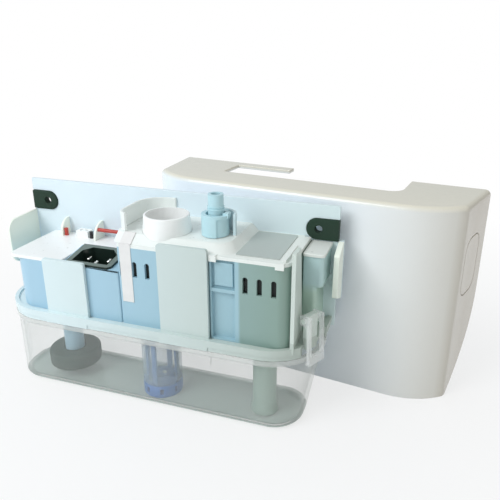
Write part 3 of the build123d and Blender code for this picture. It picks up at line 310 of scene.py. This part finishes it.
@dataclass(frozen=True)
class Zone:
    """A part of a piece, on the far side of a plane, that is given another colour."""

    colour: Colour
    axis: Vector3
    level: float
    fade: float = 0.3 * MM

    def mask(self, shader: Shader) -> Field:
        """One on the far side of the plane, else zero."""
        made = shader.node("ShaderNodeVectorMath", {"operation": "DOT_PRODUCT"},
                           {0: shader.place, 1: self.axis})
        return ((Field(shader, made.outputs["Value"]) - self.level) / self.fade).clipped()


@dataclass(frozen=True)
class Round:
    """A part of a piece, within an upright cylinder and above its foot, that is given another colour."""

    colour: Colour
    middle: tuple[float, float]
    radius: float
    foot: float

    def mask(self, shader: Shader) -> Field:
        """One within the cylinder, else zero."""
        across = shader.coordinate("X") - self.middle[0]
        along = shader.coordinate("Y") - self.middle[1]
        inside = (across * across + along * along) ** 0.5
        return (1.0 - inside.above(self.radius)) * shader.coordinate("Z").above(self.foot)


@dataclass(frozen=True)
class MouldedPlastic:
    """Opaque moulded plastic with faint flow marks and a fine skin texture.

    The colour runs from the left-hand tone to the darker right-hand one along X: painted shade,
    as the right-hand end gets less light.
    """

    name: str
    colour: Colour
    right_painted_shade: Optional[Colour] = None
    # the X span over which the painted shade darkens the tone
    span: tuple[float, float] = (-0.03, 0.075)
    roughness: float = 0.34
    skin_height: float = 0.1 * MM
    skin_scale: float = 1400.0
    mottle: float = 0.03
    coat: float = 0.0
    coat_roughness: float = 0.08
    zones: tuple[Union[Zone, Round], ...] = ()
    flow_scale: float = 26.0
    flow_stretch: Vector3 = (1.0, 1.0, 0.35)
    dust_scale: float = 240.0

    def tone(self, shader: Shader) -> bpy.types.NodeSocket:
        """The colour along X, darkened to the right as painted shade, with its zones, mottled."""
        flow = shader.noise(self.flow_scale, 3.0, 0.55, self.flow_stretch)
        dust = shader.noise(self.dust_scale, 4.0, 0.6)
        cloud = (flow * 0.7 + dust * 0.3).clipped()
        base: Any = self.colour
        # painted shade: the tone darkens along X towards the right-hand end
        if self.right_painted_shade:
            along = (shader.coordinate("X") - self.span[0]) / (self.span[1] - self.span[0])
            base = shader.blend((along + (flow - 0.5) * 0.12).clipped(), self.colour, self.right_painted_shade)
        for zone in self.zones:
            base = shader.blend(zone.mask(shader), base, zone.colour)
        light = shader.tint(base, (1.0 + self.mottle,) * 3)
        dark = shader.tint(base, (1.0 - self.mottle,) * 3)
        return shader.blend(cloud, dark, light)

    def material(self) -> bpy.types.Material:
        """Build the material."""
        shader = Shader(self.name)
        dust = shader.noise(self.dust_scale, 4.0, 0.6)
        shader.set(Base_Color=self.tone(shader), Roughness=(self.roughness + (dust - 0.5) * 0.16).clipped(),
                   Coat_Weight=self.coat, Coat_Roughness=self.coat_roughness)
        shader.bump(shader.noise(self.skin_scale, 2.0), 0.35, self.skin_height)
        return shader.owner


@dataclass(frozen=True)
class ClearPlastic:
    """Thin clear moulding: see-through face on, denser and paler edge on, partly from the longer path through
    the wall and partly as painted reflection, and denser where it is thick at its floor.
    """

    name: str
    colour: Colour
    floor_colour: Colour = (0.29, 0.42, 0.37)
    lip_foot: float = 41.6 * MM
    lip: float = 0.0
    haze: float = 0.10
    edge: float = 0.75
    floor: float = 0.0
    floor_foot: float = 0.4 * MM
    floor_top: float = 2.6 * MM
    roughness: float = 0.12
    facing_blend: float = 0.32
    falloff: float = 2.2
    frost_scale: float = 60.0
    film_scale: float = 17.0
    ripple_scale: float = 90.0
    ripple_height: float = 0.4 * MM

    def material(self) -> bpy.types.Material:
        """Build the material."""
        shader = Shader(self.name)
        weight = shader.node("ShaderNodeLayerWeight", {}, {"Blend": self.facing_blend})
        facing = Field(shader, weight.outputs["Facing"])
        frost = shader.noise(self.frost_scale, 3.0, 0.6)
        film = shader.noise(self.film_scale, 3.0, 0.6)
        low = (1.0 - (shader.coordinate("Z") - self.floor_foot) / self.floor_top).clipped()
        floor = (low * 6.0).clipped() * self.floor
        lip = shader.coordinate("Z").above(self.lip_foot) * self.lip
        cloud = (frost - 0.5) * 0.05 + (film - 0.5) * 0.08
        # edge on the pale colour thickens: partly the longer path through the wall, partly painted reflection
        alpha = (self.haze + facing ** self.falloff * self.edge + floor + lip + cloud).clipped()
        wall = shader.blend(frost, shade(self.colour, 0.97), shade(self.colour, 1.02))
        base = shader.blend((floor * 1.25).clipped(), wall, self.floor_colour)
        shader.set(Base_Color=base, Roughness=(self.roughness + (frost - 0.5) * 0.1).clipped(), Alpha=alpha)
        shader.bump(shader.noise(self.ripple_scale, 2.0), 0.12, self.ripple_height)
        return shader.owner


@dataclass(frozen=True)
class Rubber:
    """Dull moulded rubber with a grained skin."""

    name: str
    colour: Colour
    roughness: float = 0.6
    grain_scale: float = 900.0
    grain_height: float = 0.1 * MM
    bloom_scale: float = 70.0

    def material(self) -> bpy.types.Material:
        """Build the material."""
        shader = Shader(self.name)
        grain = shader.noise(self.grain_scale, 3.0, 0.6)
        bloom = shader.noise(self.bloom_scale, 3.0, 0.6)
        colour = shader.blend((bloom * 1.2).clipped(), shade(self.colour, 0.8), shade(self.colour, 1.35))
        shader.set(Base_Color=colour, Roughness=(self.roughness + (bloom - 0.5) * 0.25).clipped())
        shader.bump(grain, 0.4, self.grain_height)
        return shader.owner


@dataclass(frozen=True)
class Metal:
    """Worked metal with fine turning or drawing lines."""

    name: str
    colour: Colour
    roughness: float = 0.3
    line_stretch: Vector3 = (1.0, 1.0, 12.0)
    line_scale: float = 420.0
    line_height: float = 0.04 * MM
    stain_scale: float = 120.0

    def material(self) -> bpy.types.Material:
        """Build the material."""
        shader = Shader(self.name)
        lines = shader.noise(self.line_scale, 2.0, 0.5, self.line_stretch)
        stain = shader.noise(self.stain_scale, 3.0, 0.6)
        shader.set(Base_Color=shader.blend(stain, shade(self.colour, 0.88), shade(self.colour, 1.06)),
                   Roughness=(self.roughness + (lines - 0.5) * 0.3).clipped(), Metallic=1.0)
        shader.bump(lines, 0.3, self.line_height)
        return shader.owner


@dataclass(frozen=True)
class Film:
    """Plain film of a bare label, a little creased and scuffed."""

    name: str
    colour: Colour
    roughness: float = 0.35
    metallic: float = 0.0
    streak_scale: float = 160.0
    streak_stretch: Vector3 = (1.0, 0.2, 1.0)
    crease_scale: float = 220.0
    crease_height: float = 0.12 * MM

    def material(self) -> bpy.types.Material:
        """Build the material."""
        shader = Shader(self.name)
        streak = shader.noise(self.streak_scale, 3.0, 0.55, self.streak_stretch)
        shader.set(Base_Color=shader.blend(streak, shade(self.colour, 0.95), shade(self.colour, 1.04)),
                   Roughness=(self.roughness + (streak - 0.5) * 0.2).clipped(), Metallic=self.metallic)
        shader.bump(shader.noise(self.crease_scale, 2.0), 0.15, self.crease_height)
        return shader.owner


@dataclass(frozen=True)
class Foam:
    """Closed-cell foam of the float."""

    name: str
    colour: Colour
    cell_scale: float = 900.0
    cell_depth: float = 0.15 * MM
    patch_scale: float = 90.0

    def material(self) -> bpy.types.Material:
        """Build the material."""
        shader = Shader(self.name)
        cells = shader.node("ShaderNodeTexVoronoi", {}, {"Vector": shader.place, "Scale": self.cell_scale})
        depth = Field(shader, cells.outputs["Distance"])
        patch = shader.noise(self.patch_scale, 3.0, 0.6)
        mix = (depth * 0.6 + patch * 0.4).clipped()
        shader.set(Base_Color=shader.blend(mix, shade(self.colour, 1.15), shade(self.colour, 0.8)),
                   Roughness=(0.7 + (patch - 0.5) * 0.2).clipped())
        shader.bump(depth, 0.5, self.cell_depth)
        return shader.owner


INLET_TILT = math.radians(10)     # of the inlet's face, towards the front
INLET_AXIS = (0.0, -math.sin(INLET_TILT), math.cos(INLET_TILT))
INLET_RIM_LEVEL = 86.85 * MM      # of the rim round the inlet's recess, along that axis


class Finish(Enum):
    """The finishes of the pump's pieces."""

    # Plate: painted shade darkens the tone to the right; the part in front of Y = -30.7 mm is painted lighter
    # and greener, as painted light.
    PLATE = MouldedPlastic(
        "plate_plastic", (0.76, 0.87, 0.93), (0.68, 0.80, 0.81), (0.02, 0.10),
        zones=(Zone((0.92, 0.97, 0.87), (0.0, -1.0, 0.0), -30.7 * MM),),
    )
    # Frame: painted shade darkens the tone to the right; the round zone paints the post above Z = 56 mm
    # lighter again, as painted light.
    FRAME = MouldedPlastic(
        "frame_plastic", (0.71, 0.83, 0.85), (0.48, 0.54, 0.49), (-0.06, 0.10),
        zones=(Round((0.63, 0.70, 0.65), (91.0 * MM, -6.0 * MM), 14.0 * MM, 56.0 * MM),),
    )
    BARE_LID = MouldedPlastic("left_lid_plastic", (0.96, 0.97, 0.97), roughness=0.3)
    # Lid: painted shade darkens the tone to the right.
    LID = MouldedPlastic(
        "lid_plastic", (0.86, 0.90, 0.88), (0.80, 0.83, 0.79), (-0.02, 0.09), 0.3,
        zones=(Round((0.62, 0.78, 0.82), (40.2 * MM, 4.7 * MM), 12.5 * MM, 106.8 * MM),),
    )
    SOCKET = MouldedPlastic("socket_plastic", (0.94, 0.95, 0.94), roughness=0.3)
    # Housing: painted shade darkens the tone to the right, and the zones past X = 60.6 mm and 66 mm darker
    # still.
    HOUSING = MouldedPlastic(
        "housing_plastic", (0.40, 0.61, 0.75), (0.345, 0.53, 0.60), (-0.05, 0.05), 0.36,
        zones=(Zone((0.265, 0.385, 0.36), (1.0, 0.0, 0.0), 60.6 * MM, 1.5 * MM),
               Zone((0.24, 0.345, 0.295), (1.0, 0.0, 0.0), 66.0 * MM, 22.0 * MM)),
    )
    # Side housing: the housing plastic painted lighter, as painted light on an end that stands in shade;
    # below Z = 82 mm it is greener.
    SIDE_HOUSING = MouldedPlastic(
        "side_housing_plastic", (0.50, 0.68, 0.68), roughness=0.36,
        zones=(Zone((0.46, 0.62, 0.53), (0.0, 0.0, -1.0), -82.0 * MM, 6.0 * MM),),
    )
    OUTLET = MouldedPlastic("outlet_plastic", (0.50, 0.73, 0.79), roughness=0.34)
    STEM = MouldedPlastic("stem_plastic", (0.40, 0.62, 0.74), roughness=0.34)
    # Cover: painted shade darkens the tone to the right, darker still past X = 168 mm, and paints the top
    # above Z = 120.8 mm beige.
    COVER = MouldedPlastic(
        "cover_plastic", (0.88, 0.94, 0.99), (0.64, 0.60, 0.52), (0.09, 0.19), 0.22, coat=0.3,
        zones=(Zone((0.50, 0.45, 0.37), (1.0, 0.0, 0.0), 168.0 * MM, 12.0 * MM),
               Zone((0.76, 0.72, 0.61), (0.0, 0.0, 1.0), 120.8 * MM, 2.6 * MM)),
    )
    # Inlet: the rim's upper face is painted lighter, as painted light.
    INLET = MouldedPlastic(
        "inlet_plastic", (0.016, 0.030, 0.024), roughness=0.33,
        zones=(Zone((0.13, 0.17, 0.15), INLET_AXIS, INLET_RIM_LEVEL, 0.12 * MM),),
    )
    # Near-black sheets behind the air slots: painted shade inside the housings.
    SLOT_SHADE = MouldedPlastic("baffle_plastic", (0.012, 0.016, 0.016), roughness=0.6)
    STRAINER = MouldedPlastic("strainer_plastic", (0.06, 0.20, 0.52), roughness=0.34)
    PIPE = MouldedPlastic("pipe_plastic", (0.33, 0.44, 0.38), roughness=0.4)
    COIL = MouldedPlastic("coil_plastic", (0.03, 0.03, 0.035), roughness=0.5)
    BOARD = MouldedPlastic("board_laminate", (0.02, 0.13, 0.05), roughness=0.4)
    TANK = ClearPlastic("tank_clear", (0.76, 0.78, 0.75), haze=0.10, floor=0.60, lip=0.30)
    TUBE = ClearPlastic("tube_clear", (0.50, 0.66, 0.74), haze=0.18)
    # Latch: near-white and strongly edged, its bright outlines partly painted reflection.
    LATCH = ClearPlastic("latch_clear", (0.97, 0.99, 0.98), haze=0.24, edge=1.1, roughness=0.08)
    RUBBER = Rubber("grommet_rubber", (0.006, 0.028, 0.014), 0.72)
    HOSE = Rubber("hose_silicone", (0.72, 0.74, 0.73), 0.4)
    WIRE = Rubber("wire_sleeve", (0.46, 0.045, 0.03), 0.38)
    BLACK_WIRE = Rubber("black_wire_sleeve", (0.012, 0.012, 0.014), 0.4)
    PIN = Metal("pin_plating", (0.92, 0.91, 0.86), 0.18)
    BRASS = Metal("turned_brass", (0.72, 0.52, 0.22), 0.25)
    STEEL = Metal("zinc_steel", (0.60, 0.61, 0.62), 0.3)
    RATING = Film("rating_film", (0.50, 0.54, 0.51), 0.32, 0.25)
    SEAL = Film("seal_film", (0.80, 0.79, 0.78), 0.4)
    FLOAT = Foam("float_foam", (0.03, 0.065, 0.05))

    def material(self) -> bpy.types.Material:
        """The finish's material, built once."""
        known = bpy.data.materials.get(self.value.name)
        return known or self.value.material()


# ---------------------------------------------------------------------------
# Sub-assemblies
# ---------------------------------------------------------------------------

@dataclass
class Assembly:
    """What every sub-assembly shares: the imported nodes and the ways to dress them."""

    frame: dict[str, Any]

    def node(self, name: str) -> bpy.types.Object:
        """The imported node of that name."""
        return self.frame["nodes"][name]

    def slot_of(self, name: str) -> str:
        """The record's material slot of a node."""
        subparts = self.frame["record"]["subparts"]
        return next(entry["material_slot"] for entry in subparts if entry["node"] == name)

    def paint(self, name: str, finish: Finish) -> None:
        """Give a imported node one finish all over.

        Args:
            name: The node.
            finish: Its finish.
        """
        paint(self.node(name), finish)
        LOG.info("%s: %s", name, finish.value.name)

    def soften(self, name: str, finish: Finish, width: float, segments: int = 3) -> bpy.types.Object:
        """Stand a copy with moulded, softly rounded edges in for a node.

        Args:
            name: The node.
            finish: The copy's finish.
            width: How far each edge is rounded.
            segments: Facets round each edge.

        Returns:
            The copy.
        """
        node = self.node(name)
        mesh = node.data.copy()
        mesh.name = f"{name}_moulding"
        made = bmesh.new()
        made.from_mesh(mesh)
        bmesh.ops.remove_doubles(made, verts=made.verts, dist=WELD)
        bmesh.ops.dissolve_limit(made, angle_limit=FLAT_ANGLE, verts=made.verts, edges=made.edges,
                                 delimit={"NORMAL"})
        made.to_mesh(mesh)
        made.free()
        for layer in ("custom_normal", "sharp_edge", "sharp_face"):
            if layer in mesh.attributes:
                mesh.attributes.remove(mesh.attributes[layer])
        mesh.polygons.foreach_set("use_smooth", [True] * len(mesh.polygons))
        mesh.set_sharp_from_angle(angle=SMOOTH_ANGLE)
        piece = add_object(mesh.name, mesh)
        bevel = piece.modifiers.new("soft_edges", "BEVEL")
        bevel.width = width
        bevel.segments = segments
        bevel.limit_method = "ANGLE"
        bevel.angle_limit = SMOOTH_ANGLE
        bevel.use_clamp_overlap = True
        bevel.harden_normals = True
        self.settle(piece, node["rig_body"], finish, self.slot_of(name))
        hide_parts(name)
        return piece

    def settle(self, piece: bpy.types.Object, body: str, finish: Finish, slot: str) -> None:
        """Give a piece its finish and its body, and report it.

        Args:
            piece: The piece.
            body: The body that it rides on.
            finish: Its finish.
            slot: Not used.
        """
        paint(piece, finish)
        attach(piece, body)
        LOG.info("%s: %s, on %s", piece.name, finish.value.name, body)

    def shape(self, name: str, made: bmesh.types.BMesh) -> bpy.types.Object:
        """Make a piece of a finished bmesh, with its faces outwards and smoothly shaded.

        Args:
            name: The piece's name.
            made: The bmesh, which this frees.

        Returns:
            The piece.
        """
        bmesh.ops.remove_doubles(made, verts=made.verts, dist=WELD)
        bmesh.ops.recalc_face_normals(made, faces=made.faces)
        mesh = bpy.data.meshes.new(name)
        made.to_mesh(mesh)
        made.free()
        mesh.polygons.foreach_set("use_smooth", [True] * len(mesh.polygons))
        mesh.set_sharp_from_angle(angle=SMOOTH_ANGLE)
        return add_object(name, mesh)


def paint(piece: bpy.types.Object, finish: Finish) -> None:
    """Give a piece one finish all over."""
    piece.data.materials.clear()
    piece.data.materials.append(finish.material())
    for polygon in piece.data.polygons:
        polygon.material_index = 0


@dataclass
class Casing(Assembly):
    """Back plate, drain socket guard, grommets and the frame that carries the housings."""

    plate_edge: float = 0.4 * MM
    frame_edge: float = 0.45 * MM
    guard_edge: float = 0.5 * MM
    grommet_edge: float = 0.7 * MM

    def build(self) -> None:
        """Dress the casing."""
        self.soften("back_plate", Finish.PLATE, self.plate_edge)
        self.soften("rim_frame", Finish.FRAME, self.frame_edge)
        self.soften("socket_guard", Finish.LID, self.guard_edge)
        for side in ("left", "right"):
            self.soften(f"wall_grommet_{side}", Finish.RUBBER, self.grommet_edge)


@dataclass
class Housings(Assembly):
    """The housings, their lids and labels, and dark sheets behind the air slots that paint the shade inside
    them.
    """

    edge: float = 0.55 * MM
    thin_edge: float = 0.2 * MM
    lid_edge: float = 0.45 * MM
    shade_sheet_y: float = -14.4 * MM
    shade_sheet_thick: float = 0.7 * MM
    shade_sheet_low: float = 78.0 * MM
    shade_sheet_high: float = 96.0 * MM
    shade_sheet_spans: tuple[tuple[str, float, float], ...] = (
        ("vent_baffle", -8.0 * MM, 12.0 * MM),
        ("pump_baffle", 64.0 * MM, 82.0 * MM),
    )

    def build(self) -> None:
        """Dress the housings and make the dark sheets of painted shade behind the slots."""
        for name in ("left_housing", "vent_housing", "pump_housing"):
            self.soften(name, Finish.HOUSING, self.edge)
        self.soften("inlet_housing", Finish.HOUSING, self.thin_edge, 2)
        self.soften("side_housing", Finish.SIDE_HOUSING, self.edge)
        self.soften("left_lid", Finish.BARE_LID, self.lid_edge)
        self.soften("main_lid", Finish.LID, self.lid_edge)
        self.soften("side_lid", Finish.LID, self.lid_edge)
        self.paint("rating_plate", Finish.RATING)
        self.paint("seal_strip", Finish.SEAL)
        # dark sheets behind the slots: painted shade inside the housings
        for name, left, right in self.shade_sheet_spans:
            self.slot_shade_sheet(name, left, right)

    def slot_shade_sheet(self, name: str, left: float, right: float) -> None:
        """A thin dark sheet behind a row of slots: painted shade inside the housing.

        Args:
            name: The piece's name.
            left: Its left edge.
            right: Its right edge.
        """
        made = bmesh.new()
        bmesh.ops.create_grid(made, x_segments=6, y_segments=3, size=0.5)
        bmesh.ops.scale(made, vec=(right - left, self.shade_sheet_high - self.shade_sheet_low, 1.0), verts=made.verts)
        bmesh.ops.rotate(made, matrix=Matrix.Rotation(math.radians(90), 3, "X"), verts=made.verts)
        middle = ((left + right) / 2, self.shade_sheet_y, (self.shade_sheet_low + self.shade_sheet_high) / 2)
        bmesh.ops.translate(made, vec=middle, verts=made.verts)
        bmesh.ops.solidify(made, geom=made.faces, thickness=self.shade_sheet_thick)
        piece = self.shape(name, made)
        self.settle(piece, "pump", Finish.SLOT_SHADE, "coil_black")


@dataclass
class MainsSocket(Assembly):
    """The appliance inlet in its recess, with its pins."""

    pin_edge: float = 0.7 * MM

    def build(self) -> None:
        """Dress the inlet."""
        self.paint("mains_inlet", Finish.INLET)
        self.soften("inlet_pins", Finish.PIN, self.pin_edge)


@dataclass
class DrainPath(Assembly):
    """Drain socket, drop tube and strainer, and the outlet valve with its seat and spring."""

    socket_edge: float = 0.35 * MM
    valve_edge: float = 0.3 * MM

    def build(self) -> None:
        """Dress the water's way in and out."""
        self.soften("drain_socket", Finish.SOCKET, self.socket_edge)
        self.soften("outlet_valve", Finish.OUTLET, self.valve_edge)
        self.soften("strainer", Finish.STRAINER, self.valve_edge)
        self.paint("drop_tube", Finish.TUBE)
        self.paint("outlet_seat", Finish.OUTLET)
        self.paint("check_poppet", Finish.RUBBER)
        self.paint("poppet_spring", Finish.STEEL)
        self.paint("discharge_tube", Finish.HOSE)


@dataclass
class Reservoir(Assembly):
    """Clear tank with its latch, and the float on its stem."""

    latch_edge: float = 0.22 * MM
    float_edge: float = 0.8 * MM
    rib_width: float = 0.9 * MM
    rib_low: Vector3 = (27.2 * MM, 21.2 * MM, 8.0 * MM)
    rib_high: Vector3 = (27.8 * MM, 25.6 * MM, 41.0 * MM)

    def build(self) -> None:
        """Dress the reservoir."""
        self.paint("tank", Finish.TANK)
        self.rib()
        self.soften("tank_latch", Finish.LATCH, self.latch_edge)
        self.soften("float", Finish.FLOAT, self.float_edge)
        self.paint("float_stem", Finish.STEM)

    def rib(self) -> None:
        """A thin upright rib inside the tank's rear wall, leaning with the wall."""
        made = bmesh.new()
        bmesh.ops.create_cube(made, size=1.0)
        low, high = Vector(self.rib_low), Vector(self.rib_high)
        rise = high - low
        bmesh.ops.scale(made, vec=(self.rib_width, self.rib_width, rise.z), verts=made.verts)
        lean = Matrix.Identity(3)
        lean[0][2] = rise.x / rise.z
        lean[1][2] = rise.y / rise.z
        bmesh.ops.transform(made, matrix=lean.to_4x4(), verts=made.verts)
        bmesh.ops.translate(made, vec=(low + high) / 2, verts=made.verts)
        bmesh.ops.bevel(made, geom=made.edges, offset=self.rib_width * 0.3, segments=2, profile=0.5,
                        affect="EDGES", material=-1)
        self.settle(self.shape("tank_rib", made), "tank", Finish.TANK, "clear")


@dataclass
class PumpWorks(Assembly):
    """Reciprocating pump with its coil and the suction pipe below it."""

    def build(self) -> None:
        """Dress the pump."""
        self.paint("suction_pipe", Finish.PIPE)
        self.paint("pump_cylinder", Finish.BRASS)
        self.paint("piston", Finish.STEEL)
        self.paint("piston_spring", Finish.STEEL)
        self.paint("coil_frame", Finish.STEEL)
        self.paint("coil", Finish.COIL)


@dataclass
class Wiring(Assembly):
    """Circuit board, terminal block and the wires that show."""

    block_edge: float = 0.3 * MM

    def build(self) -> None:
        """Dress the wiring."""
        self.paint("circuit_board", Finish.BOARD)
        self.soften("terminal_block", Finish.SOCKET, self.block_edge)
        self.paint("red_wire", Finish.WIRE)
        self.paint("black_wire", Finish.BLACK_WIRE)


@dataclass
class LiftOffCover(Assembly):
    """The cover that has been lifted off, with its two squeeze buttons."""

    edge: float = 0.7 * MM
    button_edge: float = 0.5 * MM

    def build(self) -> None:
        """Dress the cover."""
        self.soften("cover", Finish.COVER, self.edge)
        for side in ("left", "right"):
            self.soften(f"cover_button_{side}", Finish.COVER, self.button_edge)


# ---------------------------------------------------------------------------
# Studio
# ---------------------------------------------------------------------------

@dataclass(frozen=True)
class SoftBox:
    """One large square lamp, with the point that it is aimed at and its power in watts."""

    name: str
    place: Vector3
    aim: Vector3
    size: float
    power: float
    colour: Colour


@dataclass
class Studio:
    """Floor, soft lights, world and camera."""

    camera_place: Vector3 = (0.15693, -0.27538, 0.21288)
    camera_look: Vector3 = (-0.30445, 0.88267, -0.35804)
    lens: float = 40.69
    sensor: float = 36.0
    floor_size: float = 6.0
    floor_colour: Colour = (0.86, 0.865, 0.87)
    shadow_middle: tuple[float, float] = (0.04, 0.03)
    shadow_near: float = 0.10
    shadow_far: float = 0.45
    shadow_share: float = 0.32
    grain_scale: float = 300.0
    left_sky: Colour = (0.80, 0.88, 0.95)
    right_sky: Colour = (0.50, 0.49, 0.46)
    sky_strength: float = 0.84
    boxes: tuple[SoftBox, ...] = (
        SoftBox("key_light", (-0.60, -0.80, 0.95), (0.02, 0.0, 0.05), 0.7, 10.0, (0.97, 0.99, 1.0)),
        SoftBox("fill_light", (0.95, -0.55, 0.75), (0.05, 0.0, 0.06), 0.7, 1.2, (1.0, 0.97, 0.90)),
    )

    def build(self) -> None:
        """Make the studio."""
        self._floor()
        self._world()
        for box in self.boxes:
            self._light(box)
        self._camera()

    def _floor(self) -> None:
        """A large white floor at the level of the tank's base, which keeps a soft shadow near the pump."""
        mesh = bpy.data.meshes.new("floor")
        made = bmesh.new()
        bmesh.ops.create_grid(made, x_segments=2, y_segments=2, size=self.floor_size)
        made.to_mesh(mesh)
        made.free()
        floor = add_object("floor", mesh)
        shader = Shader("floor_paper")
        grain = shader.noise(self.grain_scale, 3.0)
        darker, lighter = shade(self.floor_colour, 0.99), shade(self.floor_colour, 1.01)
        shader.set(Base_Color=shader.blend(grain, darker, lighter), Roughness=0.9)
        seen = shader.rays("Is Camera Ray", "Is Glossy Ray", "Is Transmission Ray")
        across = shader.coordinate("X") - self.shadow_middle[0]
        along = shader.coordinate("Y") - self.shadow_middle[1]
        reach = (across * across + along * along) ** 0.5
        fade = ((reach - self.shadow_near) / (self.shadow_far - self.shadow_near)).clipped()
        shader.whiten(seen * (1.0 - self.shadow_share + fade * self.shadow_share), "ShaderNodeEmission")
        mesh.materials.append(shader.owner)

    def _world(self) -> None:
        """An even surround, cool from the left and warm and dim from the right, white where it is seen."""
        shader = Shader("surround", of_world=True)
        bpy.context.scene.world = shader.owner
        rightwards = (shader.coordinate("X") + 1.0) / 2.0
        shader.set(Color=shader.blend(rightwards, self.left_sky, self.right_sky), Strength=self.sky_strength)
        shader.whiten(shader.rays("Is Camera Ray", "Is Transmission Ray"), "ShaderNodeBackground")

    def _light(self, box: SoftBox) -> None:
        """Hang one soft box."""
        lamp = bpy.data.lights.new(box.name, "AREA")
        lamp.energy = box.power
        lamp.size = box.size
        lamp.color = box.colour
        holder = add_object(box.name, lamp)
        holder.location = box.place
        holder.rotation_euler = (Vector(box.aim) - Vector(box.place)).to_track_quat("-Z", "Y").to_euler()

    def _camera(self) -> None:
        """The camera, level and turned to the object's right-hand end."""
        lens = bpy.data.cameras.new("camera")
        lens.lens = self.lens
        lens.sensor_width = self.sensor
        lens.sensor_fit = "HORIZONTAL"
        holder = add_object("camera", lens)
        holder.location = self.camera_place
        holder.rotation_euler = Vector(self.camera_look).to_track_quat("-Z", "Y").to_euler()
        bpy.context.scene.camera = holder


def main() -> None:
    """Load the frame, dress every sub-assembly and build the studio."""
    logging.basicConfig(level=logging.INFO, format="%(name)s: %(message)s")
    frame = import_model()
    for assembly in (Casing, Housings, MainsSocket, DrainPath, Reservoir, PumpWorks, Wiring, LiftOffCover):
        assembly(frame).build()
    Studio().build()
    bpy.context.scene.view_settings.view_transform = "Standard"


if __name__ == "__main__":
    main()
